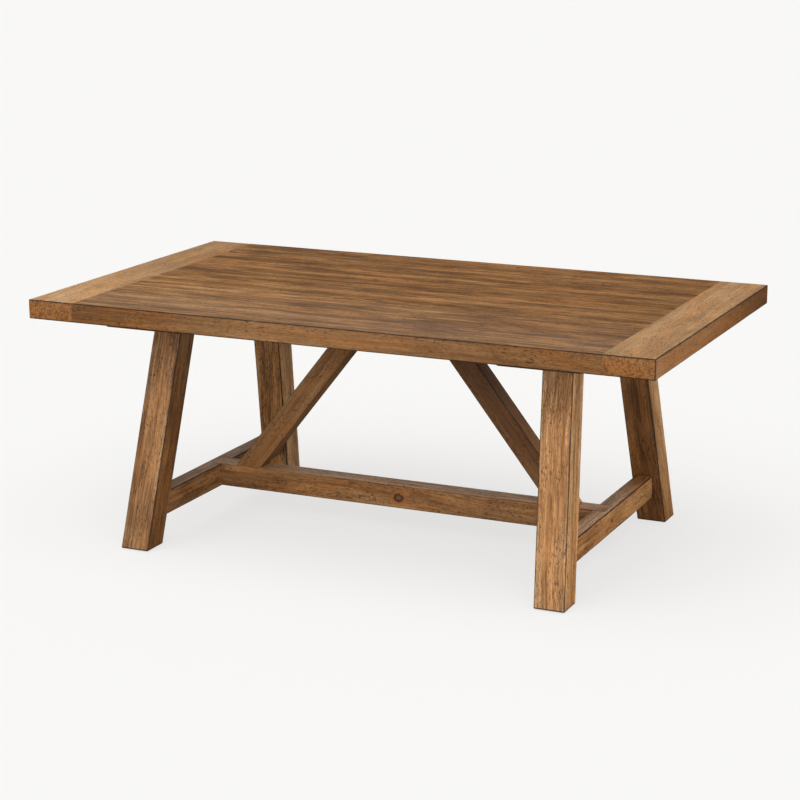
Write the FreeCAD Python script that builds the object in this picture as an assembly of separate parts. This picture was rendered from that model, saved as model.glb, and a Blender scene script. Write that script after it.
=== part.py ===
"""Trestle dining table: a breadboard top on two splayed trestles, tied by a stretcher and two braces.

Millimetres. The origin is on the floor under the middle of the top.
X runs along the table, Y across it with the front at -Y, and Z up.
"""
import FreeCAD
import Part
import math
import os

V = FreeCAD.Vector

# Table top
table_height = 762.0
top_length = 1950.0
top_width = 1130.0
top_thickness = 58.0
plank_count = 6
breadboard_width = 150.0
top_ease = 3.0

# Tongue on the plank ends, held in a stopped groove in each breadboard
tongue_thickness = 18.0
tongue_length = 32.0
tongue_stop = 45.0
swell_room = 5.0

# Pegs driven from below through breadboard and tongue
peg_diameter = 10.0
peg_bite = 6.0
peg_slot = 6.0

# Loose splines between neighbouring planks
spline_thickness = 8.0
spline_width = 24.0
spline_stop = 60.0

# Head cleats, the boards that carry the top on the trestles
cleat_thickness = 18.0
cleat_margin = 76.0
cleat_end_inset = 63.0
cleat_ease = 2.0

# Legs, measured level with the floor. Overhangs run from the rim of the top to the legs' centre lines
# at the underside of the top, and spreads are how far the feet stand outside that.
leg_width = 92.0
leg_depth = 92.0
leg_ease = 3.0
foot_ease = 2.0
end_overhang = 353.0
side_overhang = 271.0
foot_spread_x = 47.0
foot_spread_y = 171.5

# Head rails between the leg tops
head_rail_height = 60.0
head_rail_thickness = 54.0

# Crossbars low between the legs, and the stretcher that is flush with them
low_rail_floor_gap = 87.0
low_rail_height = 72.0
crossbar_thickness = 52.0
crossbar_inboard = 9.0
stretcher_width = 72.0
lap_depth = 22.0
lap_stop = 12.0
rail_ease = 2.0

# Tenons on the rails' ends
tenon_thickness = 28.0
tenon_length = 40.0
tenon_shoulder = 12.0

# Braces, square across, with their centre lines set off from the crossbars and from the middle
brace_width = 67.0
brace_thickness = 66.0
brace_foot_gap = 95.0
brace_head_x = 100.0
brace_tenon_length = 40.0
brace_tenon_thickness = 24.0
brace_tenon_depth = 28.0
brace_bolt_shift = 16.0
brace_nut_rise = 38.0

# Dowels that locate the leg tops in the cleats
dowel_diameter = 12.0
dowel_in_leg = 28.0
dowel_cover = 6.0

# Knock-down bolts with barrel nuts
bolt_diameter = 6.0
bolt_head_diameter = 10.0
bolt_head_height = 6.0
bolt_sink = 12.0
bolt_past_nut = 4.0
nut_diameter = 10.0
nut_length = 20.0
nut_setback = 42.0

# Bolts that pull the trestles up to the top
top_bolt_diameter = 8.0
top_bolt_head_diameter = 13.0
top_bolt_head_height = 8.0
top_bolt_sink = 14.0
top_bolt_spacing = 280.0
top_washer_diameter = 18.0
top_washer_thickness = 1.6
insert_diameter = 14.0
insert_length = 22.0
insert_floor = 2.0

# Wood screws
screw_diameter = 5.0
screw_head_diameter = 10.0
screw_head_height = 3.5
cleat_screw_depth = 30.0
cleat_screw_end = 31.0
cleat_screw_slot = 6.0
washer_diameter = 16.0
washer_thickness = 1.2

# Bent steel plate that fixes the brace heads to the top
bracket_wing_length = 62.0
bracket_width = 52.0
bracket_thickness = 4.0
bracket_screw_reach = 38.0
bracket_screw_spacing = 28.0
bracket_screw_depth = 20.0

# Levelling feet
leveller_gap = 4.0
leveller_base_diameter = 40.0
leveller_base_height = 6.0
leveller_base_ease = 1.0
leveller_socket = 4.0
leveller_hex_flats = 17.0
leveller_hex_height = 5.0
leveller_stem_diameter = 10.0
leveller_stem_length = 44.0
leveller_insert_diameter = 16.0
leveller_insert_length = 24.0
leveller_recess_gap = 3.0
leveller_hex_gap = 1.0

# Clearances
joint_gap = 0.2
end_gap = 2.0
hole_gap = 0.4
head_gap = 0.5
thread_gap = 0.1
slide_gap = 0.25
cut_past = 1.0

# Heights and stations that follow from the sizes above
top_under = table_height - top_thickness
top_middle = table_height - top_thickness / 2
half_width = top_width / 2
plank_width = top_width / plank_count
field_end = top_length / 2 - breadboard_width
tongue_half_span = half_width - tongue_stop
cleat_under = top_under - cleat_thickness
cleat_half_span = half_width - cleat_end_inset
leg_bottom = leveller_gap
low_rail_bottom = low_rail_floor_gap
low_rail_top = low_rail_bottom + low_rail_height
low_rail_middle = low_rail_bottom + low_rail_height / 2
head_rail_bottom = cleat_under - head_rail_height

ENDS = (("left", -1), ("right", 1))
EDGES = (("front", -1), ("back", 1))
DOWN = V(0, 0, -1)


def leg_x(height):
    """Distance of the legs' centre lines from the table's middle, along the table."""
    return top_length / 2 - end_overhang + foot_spread_x * (1 - height / top_under)


def leg_y(height):
    """Distance of the legs' centre lines from the table's middle, across the table."""
    return half_width - side_overhang + foot_spread_y * (1 - height / top_under)


def leg_inner_y(height):
    """Distance of the legs' inner faces from the table's middle, across the table."""
    return leg_y(height) - leg_depth / 2


crossbar_x = leg_x(low_rail_middle) - crossbar_inboard
crossbar_inner = crossbar_x - crossbar_thickness / 2
crossbar_outer = crossbar_x + crossbar_thickness / 2
head_rail_x = leg_x(cleat_under - head_rail_height / 2)
cleat_x = leg_x(cleat_under)
cleat_half_width = leg_width / 2 + cleat_margin
brace_foot_x = crossbar_inner - brace_foot_gap
brace_bolt_x = brace_foot_x - brace_bolt_shift
brace_nut_height = low_rail_top + brace_nut_rise
brace_lean = (brace_foot_x - brace_head_x) / (top_under - low_rail_top)
brace_half_run = brace_width / 2 * math.hypot(1, brace_lean)
nut_x = crossbar_inner - nut_setback
peg_x = field_end + tongue_length / 2
peg_top = top_middle + tongue_thickness / 2 + peg_bite


# Solids that the pieces are made of

def box(x_pair, y_pair, z_pair):
    """A block between two values on each axis, in any order."""
    low = V(min(x_pair), min(y_pair), min(z_pair))
    size = V(max(x_pair), max(y_pair), max(z_pair)) - low
    return Part.makeBox(size.x, size.y, size.z, low)


def rod(diameter, start, end):
    """A round bar from one point to another."""
    return Part.makeCylinder(diameter / 2, (end - start).Length, start, end - start)


def tube(outer, inner, start, end):
    """A round bar with a hole along its whole length."""
    return rod(outer, start, end).cut(rod(inner, start, end))


def slot(diameter, length, start, end):
    """A drilled hole that is drawn out across the table."""
    if length <= 0:
        return rod(diameter, start, end)
    shift = V(0, length / 2, 0)
    rise = V(0, 0, end.z - start.z)
    middle = box((start.x - diameter / 2, start.x + diameter / 2),
                 (start.y - length / 2, start.y + length / 2), (start.z, end.z))
    ends = [rod(diameter, start + shift, start + shift + rise),
            rod(diameter, start - shift, start - shift + rise)]
    return middle.fuse(ends)


def prism(corners, sweep):
    """A flat outline pushed along a direction."""
    return Part.Face(Part.makePolygon(corners + corners[:1])).extrude(sweep)


def rounded_outline(centre, half_x, half_y, radius):
    """A level rectangle with round corners."""
    arcs = []
    for side_x, side_y, turn in ((1, 1, 0), (-1, 1, 90), (-1, -1, 180), (1, -1, 270)):
        pivot = centre + V(side_x * (half_x - radius), side_y * (half_y - radius), 0)
        arcs.append(Part.makeCircle(radius, pivot, V(0, 0, 1), turn, turn + 90))
    edges = []
    for arc, following in zip(arcs, arcs[1:] + arcs[:1]):
        edges += [arc, Part.makeLine(arc.Vertexes[1].Point, following.Vertexes[0].Point)]
    return Part.Wire(edges)


def eased_along(solid, radius, direction):
    """Rounds the edges that run in one direction."""
    heading = V(direction).normalize()
    edges = [edge for edge in solid.Edges
             if abs(edge.tangentAt(edge.FirstParameter).dot(heading)) > 0.9999]
    return solid.makeFillet(radius, edges)


def carved(solid, tools):
    """Cuts a list of holes and housings from a piece."""
    return solid.cut(list(tools))


# The top

def plank_edges(index):
    """Front and back of one plank, counted from the front."""
    front = -half_width + index * plank_width
    return front, front + plank_width


def plank_middle(index):
    return sum(plank_edges(index)) / 2


def seam_positions():
    return [plank_edges(index)[0] for index in range(1, plank_count)]


def spline(seam_y, gap, end_room):
    """A loose spline at one seam, or its groove when given room."""
    half_length = field_end - spline_stop + end_room
    half_width_y = spline_width / 2 + gap
    half_height = spline_thickness / 2 + gap
    return box((-half_length, half_length), (seam_y - half_width_y, seam_y + half_width_y),
               (top_middle - half_height, top_middle + half_height))


def peg_hole_slot(index):
    """The planks beside the middle are held tight, and the others can swell."""
    from_middle = abs(index - (plank_count - 1) / 2)
    return peg_slot if from_middle > 1 else 0


def plank(index):
    front, back = plank_edges(index)
    board = box((-field_end, field_end), (front, back), (top_under, table_height))
    outer = [edge for edge in board.Edges if edge.BoundBox.XLength > field_end
             and abs(abs(edge.CenterOfMass.y) - half_width) < joint_gap]
    if outer:
        board = board.makeFillet(top_ease, outer)
    tongue_y = (max(front, -tongue_half_span), min(back, tongue_half_span))
    tongue_z = (top_middle - tongue_thickness / 2, top_middle + tongue_thickness / 2)
    tongues = [box((end * field_end, end * (field_end + tongue_length)), tongue_y, tongue_z)
               for _, end in ENDS]
    board = board.fuse(tongues)
    pegs = [slot(peg_diameter + 2 * joint_gap, peg_hole_slot(index),
                 V(end * peg_x, plank_middle(index), top_under),
                 V(end * peg_x, plank_middle(index), table_height)) for _, end in ENDS]
    grooves = [spline(seam_y, joint_gap, cut_past) for seam_y in seam_positions()]
    return carved(board, pegs + grooves + cleat_screw_holes() + insert_holes() + bracket_holes())


def breadboard(end):
    outer_x = end * top_length / 2
    board = box((end * field_end, outer_x), (-half_width, half_width), (top_under, table_height))
    rim = [edge for edge in board.Edges if abs(edge.CenterOfMass.x - end * field_end) > joint_gap]
    board = board.makeFillet(top_ease, rim)
    half_height = tongue_thickness / 2 + joint_gap
    half_groove = tongue_half_span + swell_room
    groove = box((end * (field_end - cut_past), end * (field_end + tongue_length + end_gap)),
                 (-half_groove, half_groove), (top_middle - half_height, top_middle + half_height))
    return carved(board, [groove] + [peg(end, index, joint_gap) for index in range(plank_count)])


def peg(end, index, gap):
    """A peg, or its hole in the breadboard when given room."""
    past = cut_past if gap else 0
    foot = V(end * peg_x, plank_middle(index), top_under - past)
    return rod(peg_diameter + 2 * gap, foot, V(foot.x, foot.y, peg_top + gap))


# Head cleats and the screws that hold them to the top

def cleat_screw_places():
    """Two rows of screws along each cleat, clear of the legs."""
    row_shift = (leg_width / 2 + cleat_half_width) / 2
    reach = cleat_half_span - cleat_screw_end
    step = 2 * reach / (plank_count - 1)
    return [(end * cleat_x + side * row_shift, -reach + step * place)
            for _, end in ENDS for side in (-1, 1) for place in range(plank_count)]


def cleat_screw(x, y):
    seat = cleat_under - washer_thickness
    head = rod(screw_head_diameter, V(x, y, seat - screw_head_height), V(x, y, seat))
    shank = rod(screw_diameter, V(x, y, seat), V(x, y, top_under + cleat_screw_depth))
    return head.fuse(shank)


def cleat_washer(x, y):
    return tube(washer_diameter, screw_diameter + 2 * joint_gap,
                V(x, y, cleat_under - washer_thickness), V(x, y, cleat_under))


def cleat_screw_holes():
    bore = screw_diameter + 2 * thread_gap
    return [rod(bore, V(x, y, top_under), V(x, y, top_under + cleat_screw_depth + thread_gap))
            for x, y in cleat_screw_places()]


def head_cleat(end):
    board = box((end * cleat_x - cleat_half_width, end * cleat_x + cleat_half_width),
                (-cleat_half_span, cleat_half_span), (cleat_under, top_under))
    rim = [edge for edge in board.Edges if abs(edge.CenterOfMass.z - cleat_under) < joint_gap]
    board = board.makeFillet(cleat_ease, rim)
    slots = [slot(screw_diameter + 2 * hole_gap, cleat_screw_slot,
                  V(x, y, cleat_under - cut_past), V(x, y, top_under + cut_past))
             for x, y in cleat_screw_places() if x * end > 0]
    dowels = [leg_dowel(end, edge, joint_gap) for _, edge in EDGES]
    return carved(board, slots + dowels + top_bolt_holes(end))


# Trestles

def leg_point(end, edge, height):
    """A point on a leg's centre line."""
    return V(end * leg_x(height), edge * leg_y(height), height)


def leg(end, edge):
    foot = leg_point(end, edge, leg_bottom)
    shin = leg_point(end, edge, leg_bottom + foot_ease)
    head = leg_point(end, edge, cleat_under)
    sole = rounded_outline(foot, leg_width / 2 - foot_ease, leg_depth / 2 - foot_ease, leg_ease)
    full = rounded_outline(shin, leg_width / 2, leg_depth / 2, leg_ease)
    post = Part.Face(full).extrude(head - shin).fuse(Part.makeLoft([sole, full], True, True))
    mortises = [rail_tenon(end * crossbar_x, edge, low_rail_bottom, low_rail_top, joint_gap),
                rail_tenon(end * head_rail_x, edge, head_rail_bottom, cleat_under, joint_gap)]
    return carved(post, mortises + [leg_dowel(end, edge, joint_gap)] + leveller_housing(end, edge))


def leg_dowel(end, edge, gap):
    """A dowel between leg and cleat, past the end of the head rail's tenon, or its hole when given room."""
    x = end * leg_x(cleat_under)
    y = edge * (leg_y(cleat_under) + tenon_length / 2)
    return rod(dowel_diameter + 2 * gap, V(x, y, cleat_under - dowel_in_leg - gap),
               V(x, y, top_under - dowel_cover + gap))


def rail_tenon(x, edge, bottom, top, gap):
    """The tenon of a rail between two legs, or its mortise when given room."""
    low = bottom + tenon_shoulder - gap
    high = top - tenon_shoulder + gap
    root = cut_past if gap else 0
    reach = leg_inner_y((bottom + top) / 2) + tenon_length + (end_gap if gap else 0)
    near = x - tenon_thickness / 2 - gap
    corners = [V(near, edge * (leg_inner_y(low) - root), low), V(near, edge * reach, low),
               V(near, edge * reach, high), V(near, edge * (leg_inner_y(high) - root), high)]
    return prism(corners, V(tenon_thickness + 2 * gap, 0, 0))


def leg_rail(x, thickness, bottom, top):
    """A rail whose shoulders are cut to the slope of the legs, with a tenon on each end."""
    near = x - thickness / 2
    corners = [V(near, edge * leg_inner_y(height), height)
               for edge, height in ((-1, bottom), (1, bottom), (1, top), (-1, top))]
    body = eased_along(prism(corners, V(thickness, 0, 0)), rail_ease, V(0, 1, 0))
    return body.fuse([rail_tenon(x, edge, bottom, top, 0) for _, edge in EDGES])


def head_rail(end):
    rail = leg_rail(end * head_rail_x, head_rail_thickness, head_rail_bottom, cleat_under)
    return carved(rail, top_bolt_holes(end) + top_bolt_counterbores(end))


def crossbar(end):
    rail = leg_rail(end * crossbar_x, crossbar_thickness, low_rail_bottom, low_rail_top)
    return carved(rail, [stretcher_lap(end, joint_gap)] + stretcher_bolt_hole(end))


# Stretcher and braces

def stretcher_lap(end, gap):
    """The tongue of the stretcher that drops into a crossbar, or its housing when given room."""
    half = stretcher_width / 2 + gap
    root = cut_past if gap else 0
    return box((end * (crossbar_inner - root), end * (crossbar_outer - lap_stop + gap)), (-half, half),
               (low_rail_top - lap_depth, low_rail_top + root))


def stretcher():
    bar = box((-crossbar_inner, crossbar_inner), (-stretcher_width / 2, stretcher_width / 2),
              (low_rail_bottom, low_rail_top))
    bar = eased_along(bar, rail_ease, V(1, 0, 0))
    bar = bar.fuse([stretcher_lap(end, 0) for _, end in ENDS])
    cuts = []
    for _, end in ENDS:
        cuts += stretcher_bolt_hole(end)
        cuts.append(rod(nut_diameter + 2 * joint_gap, V(end * nut_x, 0, low_rail_bottom - cut_past),
                        V(end * nut_x, 0, low_rail_middle + nut_length / 2 + joint_gap)))
        cuts.append(brace_tenon(end, joint_gap))
        cuts += brace_bolt_hole(end)
    return carved(bar, cuts)


def brace_section(end, height):
    """Middle of a brace at one height, in the table's long plane."""
    return V(end * (brace_foot_x - brace_lean * (height - low_rail_top)), 0, height)


def brace_tenon(end, gap):
    """The stub tenon under a brace, or its mortise when given room."""
    half_x = brace_tenon_length / 2 + gap
    half_y = brace_tenon_thickness / 2 + gap
    depth = brace_tenon_depth + (end_gap if gap else 0)
    return box((end * brace_bolt_x - half_x, end * brace_bolt_x + half_x), (-half_y, half_y),
               (low_rail_top - depth, low_rail_top))


def brace(end):
    foot = brace_section(end, low_rail_top)
    head = brace_section(end, top_under)
    aside = V(brace_half_run, 0, 0)
    forward = V(0, -brace_thickness / 2, 0)
    outline = [foot - aside, foot + aside, head + aside, head - aside]
    bar = prism([point + forward for point in outline], V(0, brace_thickness, 0))
    bar = eased_along(bar, rail_ease, head - foot)
    bar = bar.fuse(brace_tenon(end, 0))
    nut_hole = rod(nut_diameter + 2 * joint_gap,
                   V(end * brace_bolt_x, brace_thickness / 2 + cut_past, brace_nut_height),
                   V(end * brace_bolt_x, -nut_length / 2 - joint_gap, brace_nut_height))
    return carved(bar, [nut_hole] + brace_bolt_hole(end) + bracket_holes())


# Knock-down bolts and barrel nuts

def stretcher_bolt_points(end):
    """Head, seat and tip of the bolt that draws a crossbar on to the stretcher."""
    seat = crossbar_outer - bolt_sink
    tip = nut_x - nut_diameter / 2 - bolt_past_nut
    return [V(end * x, 0, low_rail_middle) for x in (seat + bolt_head_height, seat, tip)]


def brace_bolt_points(end):
    """Head, seat and tip of the bolt that draws a brace down on to the stretcher."""
    seat = low_rail_bottom + bolt_sink
    tip = brace_nut_height + nut_diameter / 2 + bolt_past_nut
    return [V(end * brace_bolt_x, 0, z) for z in (seat - bolt_head_height, seat, tip)]


def bolt(points, head_diameter, shank_diameter):
    head, seat, tip = points
    return rod(head_diameter, head, seat).fuse(rod(shank_diameter, seat, tip))


def bolt_hole(points):
    """A clearance hole with a counterbore that opens past the face, and room at the tip."""
    head, seat, tip = points
    heading = V(tip - seat).normalize()
    mouth = seat - heading * (bolt_sink + cut_past)
    return [rod(bolt_head_diameter + 2 * head_gap, mouth, seat),
            rod(bolt_diameter + 2 * hole_gap, seat, tip + heading * hole_gap)]


def stretcher_bolt_hole(end):
    return bolt_hole(stretcher_bolt_points(end))


def brace_bolt_hole(end):
    return bolt_hole(brace_bolt_points(end))


def barrel_nut(middle, heading, bolt_heading):
    """A short steel bar, cross-drilled for its bolt."""
    half = V(heading) * (nut_length / 2)
    across = V(bolt_heading) * nut_diameter
    bore = rod(bolt_diameter + 2 * thread_gap, middle - across, middle + across)
    return rod(nut_diameter, middle - half, middle + half).cut(bore)


def stretcher_nut(end):
    return barrel_nut(V(end * nut_x, 0, low_rail_middle), V(0, 0, 1), V(1, 0, 0))


def brace_nut(end):
    return barrel_nut(V(end * brace_bolt_x, 0, brace_nut_height), V(0, 1, 0), V(0, 0, 1))


# Bolts from the head rails up into the top

def top_bolt_places(end):
    return [(end * head_rail_x, edge * top_bolt_spacing / 2) for _, edge in EDGES]


def top_bolt_seat():
    return head_rail_bottom + top_bolt_sink


def top_bolt(x, y):
    seat = top_bolt_seat() - top_washer_thickness
    tip = top_under + insert_length - insert_floor
    points = [V(x, y, z) for z in (seat - top_bolt_head_height, seat, tip)]
    return bolt(points, top_bolt_head_diameter, top_bolt_diameter)


def top_washer(x, y):
    return tube(top_washer_diameter, top_bolt_diameter + 2 * joint_gap,
                V(x, y, top_bolt_seat() - top_washer_thickness), V(x, y, top_bolt_seat()))


def top_insert(x, y):
    foot = V(x, y, top_under)
    body = rod(insert_diameter, foot, foot + V(0, 0, insert_length))
    return body.cut(rod(top_bolt_diameter + 2 * thread_gap, foot,
                        foot + V(0, 0, insert_length - insert_floor + thread_gap)))


def top_bolt_holes(end):
    return [rod(top_bolt_diameter + 2 * hole_gap, V(x, y, head_rail_bottom),
                V(x, y, top_under + cut_past)) for x, y in top_bolt_places(end)]


def top_bolt_counterbores(end):
    return [rod(top_washer_diameter + 2 * head_gap, V(x, y, head_rail_bottom - cut_past),
                V(x, y, top_bolt_seat())) for x, y in top_bolt_places(end)]


def insert_holes():
    return [rod(insert_diameter + 2 * thread_gap, V(x, y, top_under),
                V(x, y, top_under + insert_length + thread_gap))
            for _, end in ENDS for x, y in top_bolt_places(end)]


# Bracket at the brace heads

def bracket_corner(end):
    """Where the underside of the top meets the lower face of a brace."""
    return V(end * (brace_head_x - brace_half_run), 0, top_under)


def brace_slope(end):
    """The way down a brace, and the way out of its lower face."""
    down = V(end * brace_lean, 0, -1).normalize()
    out = V(-end, 0, -brace_lean).normalize()
    return down, out


def bracket_wing(end):
    """Tip and bend of one wing, on the wood and then on the open side."""
    down, out = brace_slope(end)
    bend = bracket_corner(end)
    tip = bend + down * bracket_wing_length
    mitre = (DOWN + out) * (bracket_thickness / (1 + DOWN.dot(out)))
    return tip, bend, tip + out * bracket_thickness, bend + mitre


def brace_bracket():
    """One bent plate that spans the gap between the brace heads."""
    left_tip, left_bend, left_open_tip, left_open_bend = bracket_wing(-1)
    right_tip, right_bend, right_open_tip, right_open_bend = bracket_wing(1)
    outline = [left_tip, left_bend, right_bend, right_tip,
               right_open_tip, right_open_bend, left_open_bend, left_open_tip]
    forward = V(0, -bracket_width / 2, 0)
    plate = prism([point + forward for point in outline], V(0, bracket_width, 0))
    holes = [rod(screw_diameter + 2 * joint_gap, seat - normal * cut_past,
                 seat + normal * (bracket_thickness + cut_past))
             for seat, normal in bracket_screw_places()]
    return carved(plate, holes)


def bracket_screw_places():
    """Each screw's point on the wood, and the way that it comes out."""
    places = []
    for _, end in ENDS:
        down, out = brace_slope(end)
        corner = bracket_corner(end)
        for _, edge in EDGES:
            aside = V(0, edge * bracket_screw_spacing / 2, 0)
            places.append((V(corner.x / 2, 0, corner.z) + aside, DOWN))
            places.append((corner + down * bracket_screw_reach + aside, out))
    return places


def bracket_screw(seat, normal):
    face = seat + normal * bracket_thickness
    points = [face + normal * screw_head_height, face, seat - normal * bracket_screw_depth]
    return bolt(points, screw_head_diameter, screw_diameter)


def bracket_holes():
    return [rod(screw_diameter + 2 * thread_gap, seat, seat - normal * (bracket_screw_depth + thread_gap))
            for seat, normal in bracket_screw_places()]


# Levelling feet

def leveller_point(end, edge, height):
    foot = leg_point(end, edge, leg_bottom)
    return V(foot.x, foot.y, height)


def leveller_hex_top():
    return leveller_base_height + leveller_hex_height


def leveller_insert_bottom():
    return leveller_hex_top() + leveller_hex_gap


def leveller_base(end, edge):
    disc = rod(leveller_base_diameter, leveller_point(end, edge, 0),
               leveller_point(end, edge, leveller_base_height))
    rims = [edge_line for edge_line in disc.Edges if edge_line.Length > leveller_base_diameter]
    disc = disc.makeChamfer(leveller_base_ease, rims)
    return disc.cut(rod(leveller_stem_diameter + 2 * joint_gap,
                        leveller_point(end, edge, leveller_base_height - leveller_socket),
                        leveller_point(end, edge, leveller_base_height)))


def leveller_stem(end, edge):
    """A threaded stud with a hexagon to turn it by."""
    centre = leveller_point(end, edge, leveller_base_height)
    corner_radius = leveller_hex_flats / math.sqrt(3)
    turns = [math.radians(60 * corner) for corner in range(6)]
    corners = [centre + V(math.cos(turn), math.sin(turn), 0) * corner_radius for turn in turns]
    collar = prism(corners, V(0, 0, leveller_hex_height))
    stud = rod(leveller_stem_diameter, leveller_point(end, edge, leveller_base_height - leveller_socket),
               leveller_point(end, edge, leveller_hex_top() + leveller_stem_length))
    return collar.fuse(stud)


def leveller_insert(end, edge):
    return tube(leveller_insert_diameter, leveller_stem_diameter + 2 * slide_gap,
                leveller_point(end, edge, leveller_insert_bottom()),
                leveller_point(end, edge, leveller_insert_bottom() + leveller_insert_length))


def leveller_housing(end, edge):
    """The recess, the insert's hole and the stem's hole in the foot of a leg."""
    recess = rod(leveller_base_diameter + 2 * leveller_recess_gap,
                 leveller_point(end, edge, leg_bottom - cut_past),
                 leveller_point(end, edge, leveller_insert_bottom()))
    insert = rod(leveller_insert_diameter + 2 * thread_gap, leveller_point(end, edge, leg_bottom),
                 leveller_point(end, edge, leveller_insert_bottom() + leveller_insert_length))
    stem = rod(leveller_stem_diameter + 2 * hole_gap, leveller_point(end, edge, leg_bottom),
               leveller_point(end, edge, leveller_hex_top() + leveller_stem_length + cut_past))
    return [recess, insert, stem]


# The whole table, one entry for each node

def table_nodes():
    group = Part.makeCompound
    nodes = {}
    for index in range(plank_count):
        nodes["top_plank_%d" % (index + 1)] = plank(index)
    nodes["plank_splines"] = group([spline(seam_y, 0, 0) for seam_y in seam_positions()])
    nodes["breadboard_pegs"] = group([peg(end, index, 0) for _, end in ENDS for index in range(plank_count)])
    for side, end in ENDS:
        nodes["breadboard_" + side] = breadboard(end)
        nodes["head_cleat_" + side] = head_cleat(end)
        nodes["head_rail_" + side] = head_rail(end)
        nodes["crossbar_" + side] = crossbar(end)
        nodes["brace_" + side] = brace(end)
    nodes["stretcher"] = stretcher()
    nodes["brace_bracket"] = brace_bracket()
    corners = [(edge_name + "_" + side, end, edge) for side, end in ENDS for edge_name, edge in EDGES]
    for corner, end, edge in corners:
        nodes["leg_" + corner] = leg(end, edge)
        nodes["leveller_base_" + corner] = leveller_base(end, edge)
        nodes["leveller_stem_" + corner] = leveller_stem(end, edge)
    nodes["leg_dowels"] = group([leg_dowel(end, edge, 0) for _, end, edge in corners])
    nodes["leveller_inserts"] = group([leveller_insert(end, edge) for _, end, edge in corners])
    nodes["cleat_screws"] = group([cleat_screw(x, y) for x, y in cleat_screw_places()])
    nodes["cleat_washers"] = group([cleat_washer(x, y) for x, y in cleat_screw_places()])
    top_places = [place for _, end in ENDS for place in top_bolt_places(end)]
    nodes["top_bolts"] = group([top_bolt(x, y) for x, y in top_places])
    nodes["top_bolt_washers"] = group([top_washer(x, y) for x, y in top_places])
    nodes["top_inserts"] = group([top_insert(x, y) for x, y in top_places])
    nodes["stretcher_bolts"] = group([bolt(stretcher_bolt_points(end), bolt_head_diameter, bolt_diameter)
                                      for _, end in ENDS])
    nodes["stretcher_barrel_nuts"] = group([stretcher_nut(end) for _, end in ENDS])
    nodes["brace_bolts"] = group([bolt(brace_bolt_points(end), bolt_head_diameter, bolt_diameter)
                                  for _, end in ENDS])
    nodes["brace_barrel_nuts"] = group([brace_nut(end) for _, end in ENDS])
    nodes["bracket_screws"] = group([bracket_screw(seat, normal) for seat, normal in bracket_screw_places()])
    return nodes


os.makedirs("parts", exist_ok=True)
for node_name, node_shape in table_nodes().items():
    node_shape.exportStep(os.path.join("parts", node_name + ".step"))
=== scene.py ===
# %% [markdown]
# A trestle dining table, dressed for its portrait.
#
# The imported CAD model is the fixed frame: every board and bolt already stands where it belongs, in metres,
# with +Z up and the front of the table towards -Y. This lesson never moves those parts. It measures them,
# builds boards with softened corners and real grain over them, and lets each new piece ride on the CAD body
# that carries it. We load the frame first.

# %% Load the frame
import math
import random
from collections import namedtuple

import bpy
import numpy as np
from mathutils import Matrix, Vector, noise


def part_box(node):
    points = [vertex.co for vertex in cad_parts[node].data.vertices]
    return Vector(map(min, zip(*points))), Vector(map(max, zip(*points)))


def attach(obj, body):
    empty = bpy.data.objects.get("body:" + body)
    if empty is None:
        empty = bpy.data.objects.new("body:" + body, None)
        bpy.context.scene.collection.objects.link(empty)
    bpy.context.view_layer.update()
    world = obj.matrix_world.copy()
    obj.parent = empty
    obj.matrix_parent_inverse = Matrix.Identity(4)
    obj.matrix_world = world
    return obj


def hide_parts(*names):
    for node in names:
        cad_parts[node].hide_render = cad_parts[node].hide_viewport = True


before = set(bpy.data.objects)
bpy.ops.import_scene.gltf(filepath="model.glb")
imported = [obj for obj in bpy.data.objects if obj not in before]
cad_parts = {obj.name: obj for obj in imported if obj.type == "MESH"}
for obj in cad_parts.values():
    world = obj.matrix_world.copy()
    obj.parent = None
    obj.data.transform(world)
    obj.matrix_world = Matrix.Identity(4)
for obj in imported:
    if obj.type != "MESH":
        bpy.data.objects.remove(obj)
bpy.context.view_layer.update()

# %% [markdown]
# The camera stands in front of the table and to its right, a little above standing eye height, with a long
# lens. A long lens from far away keeps the far edge of the top nearly parallel to the near one, which is how
# furniture is usually photographed. The turn and tilt are plain angles, so the view is easy to change.

# %% Camera
CAMERA_PLACE = (2.60465, -5.80728, 2.01156)
CAMERA_TURN = 0.4238
CAMERA_TILT_DOWN = 0.2444
SENSOR_WIDTH = 36.0
FOCAL_LENGTH = 96.134
FARTHEST_SEEN = 200.0

camera = bpy.data.objects.new("camera", bpy.data.cameras.new("camera"))
camera.location = CAMERA_PLACE
camera.rotation_euler = (math.pi / 2 - CAMERA_TILT_DOWN, 0.0, CAMERA_TURN)
camera.data.sensor_width = SENSOR_WIDTH
camera.data.lens = FOCAL_LENGTH
camera.data.clip_end = FARTHEST_SEEN
bpy.context.scene.collection.objects.link(camera)
bpy.context.scene.camera = camera
print("camera lens, mm:", camera.data.lens)

# %% [markdown]
# A material is a small network of nodes. Writing each node out by hand hides the idea under the wiring, so a
# few helpers come first: one adds a node and fills its sockets, and the others are the handful of operations
# that wood needs, which are sums, stretched noise, soft steps and colour mixing.

# %% Helpers that build node networks
def put(tree, kind, inputs=None, **settings):
    """Adds one shader node. Inputs are plain values, or sockets to link from."""
    node = tree.nodes.new("ShaderNode" + kind)
    for name, value in settings.items():
        setattr(node, name, value)
    for key, value in (inputs or {}).items():
        if isinstance(value, bpy.types.NodeSocket):
            tree.links.new(value, node.inputs[key])
        else:
            node.inputs[key].default_value = value
    return node


def calc(tree, operation, *values):
    """One step of arithmetic on numbers."""
    return put(tree, "Math", dict(enumerate(values)), operation=operation).outputs[0]


def times(tree, first, second):
    return calc(tree, "MULTIPLY", first, second)


def vector_calc(tree, operation, *vectors):
    """One step of arithmetic on vectors."""
    return put(tree, "VectorMath", dict(enumerate(vectors)), operation=operation).outputs[0]


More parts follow.
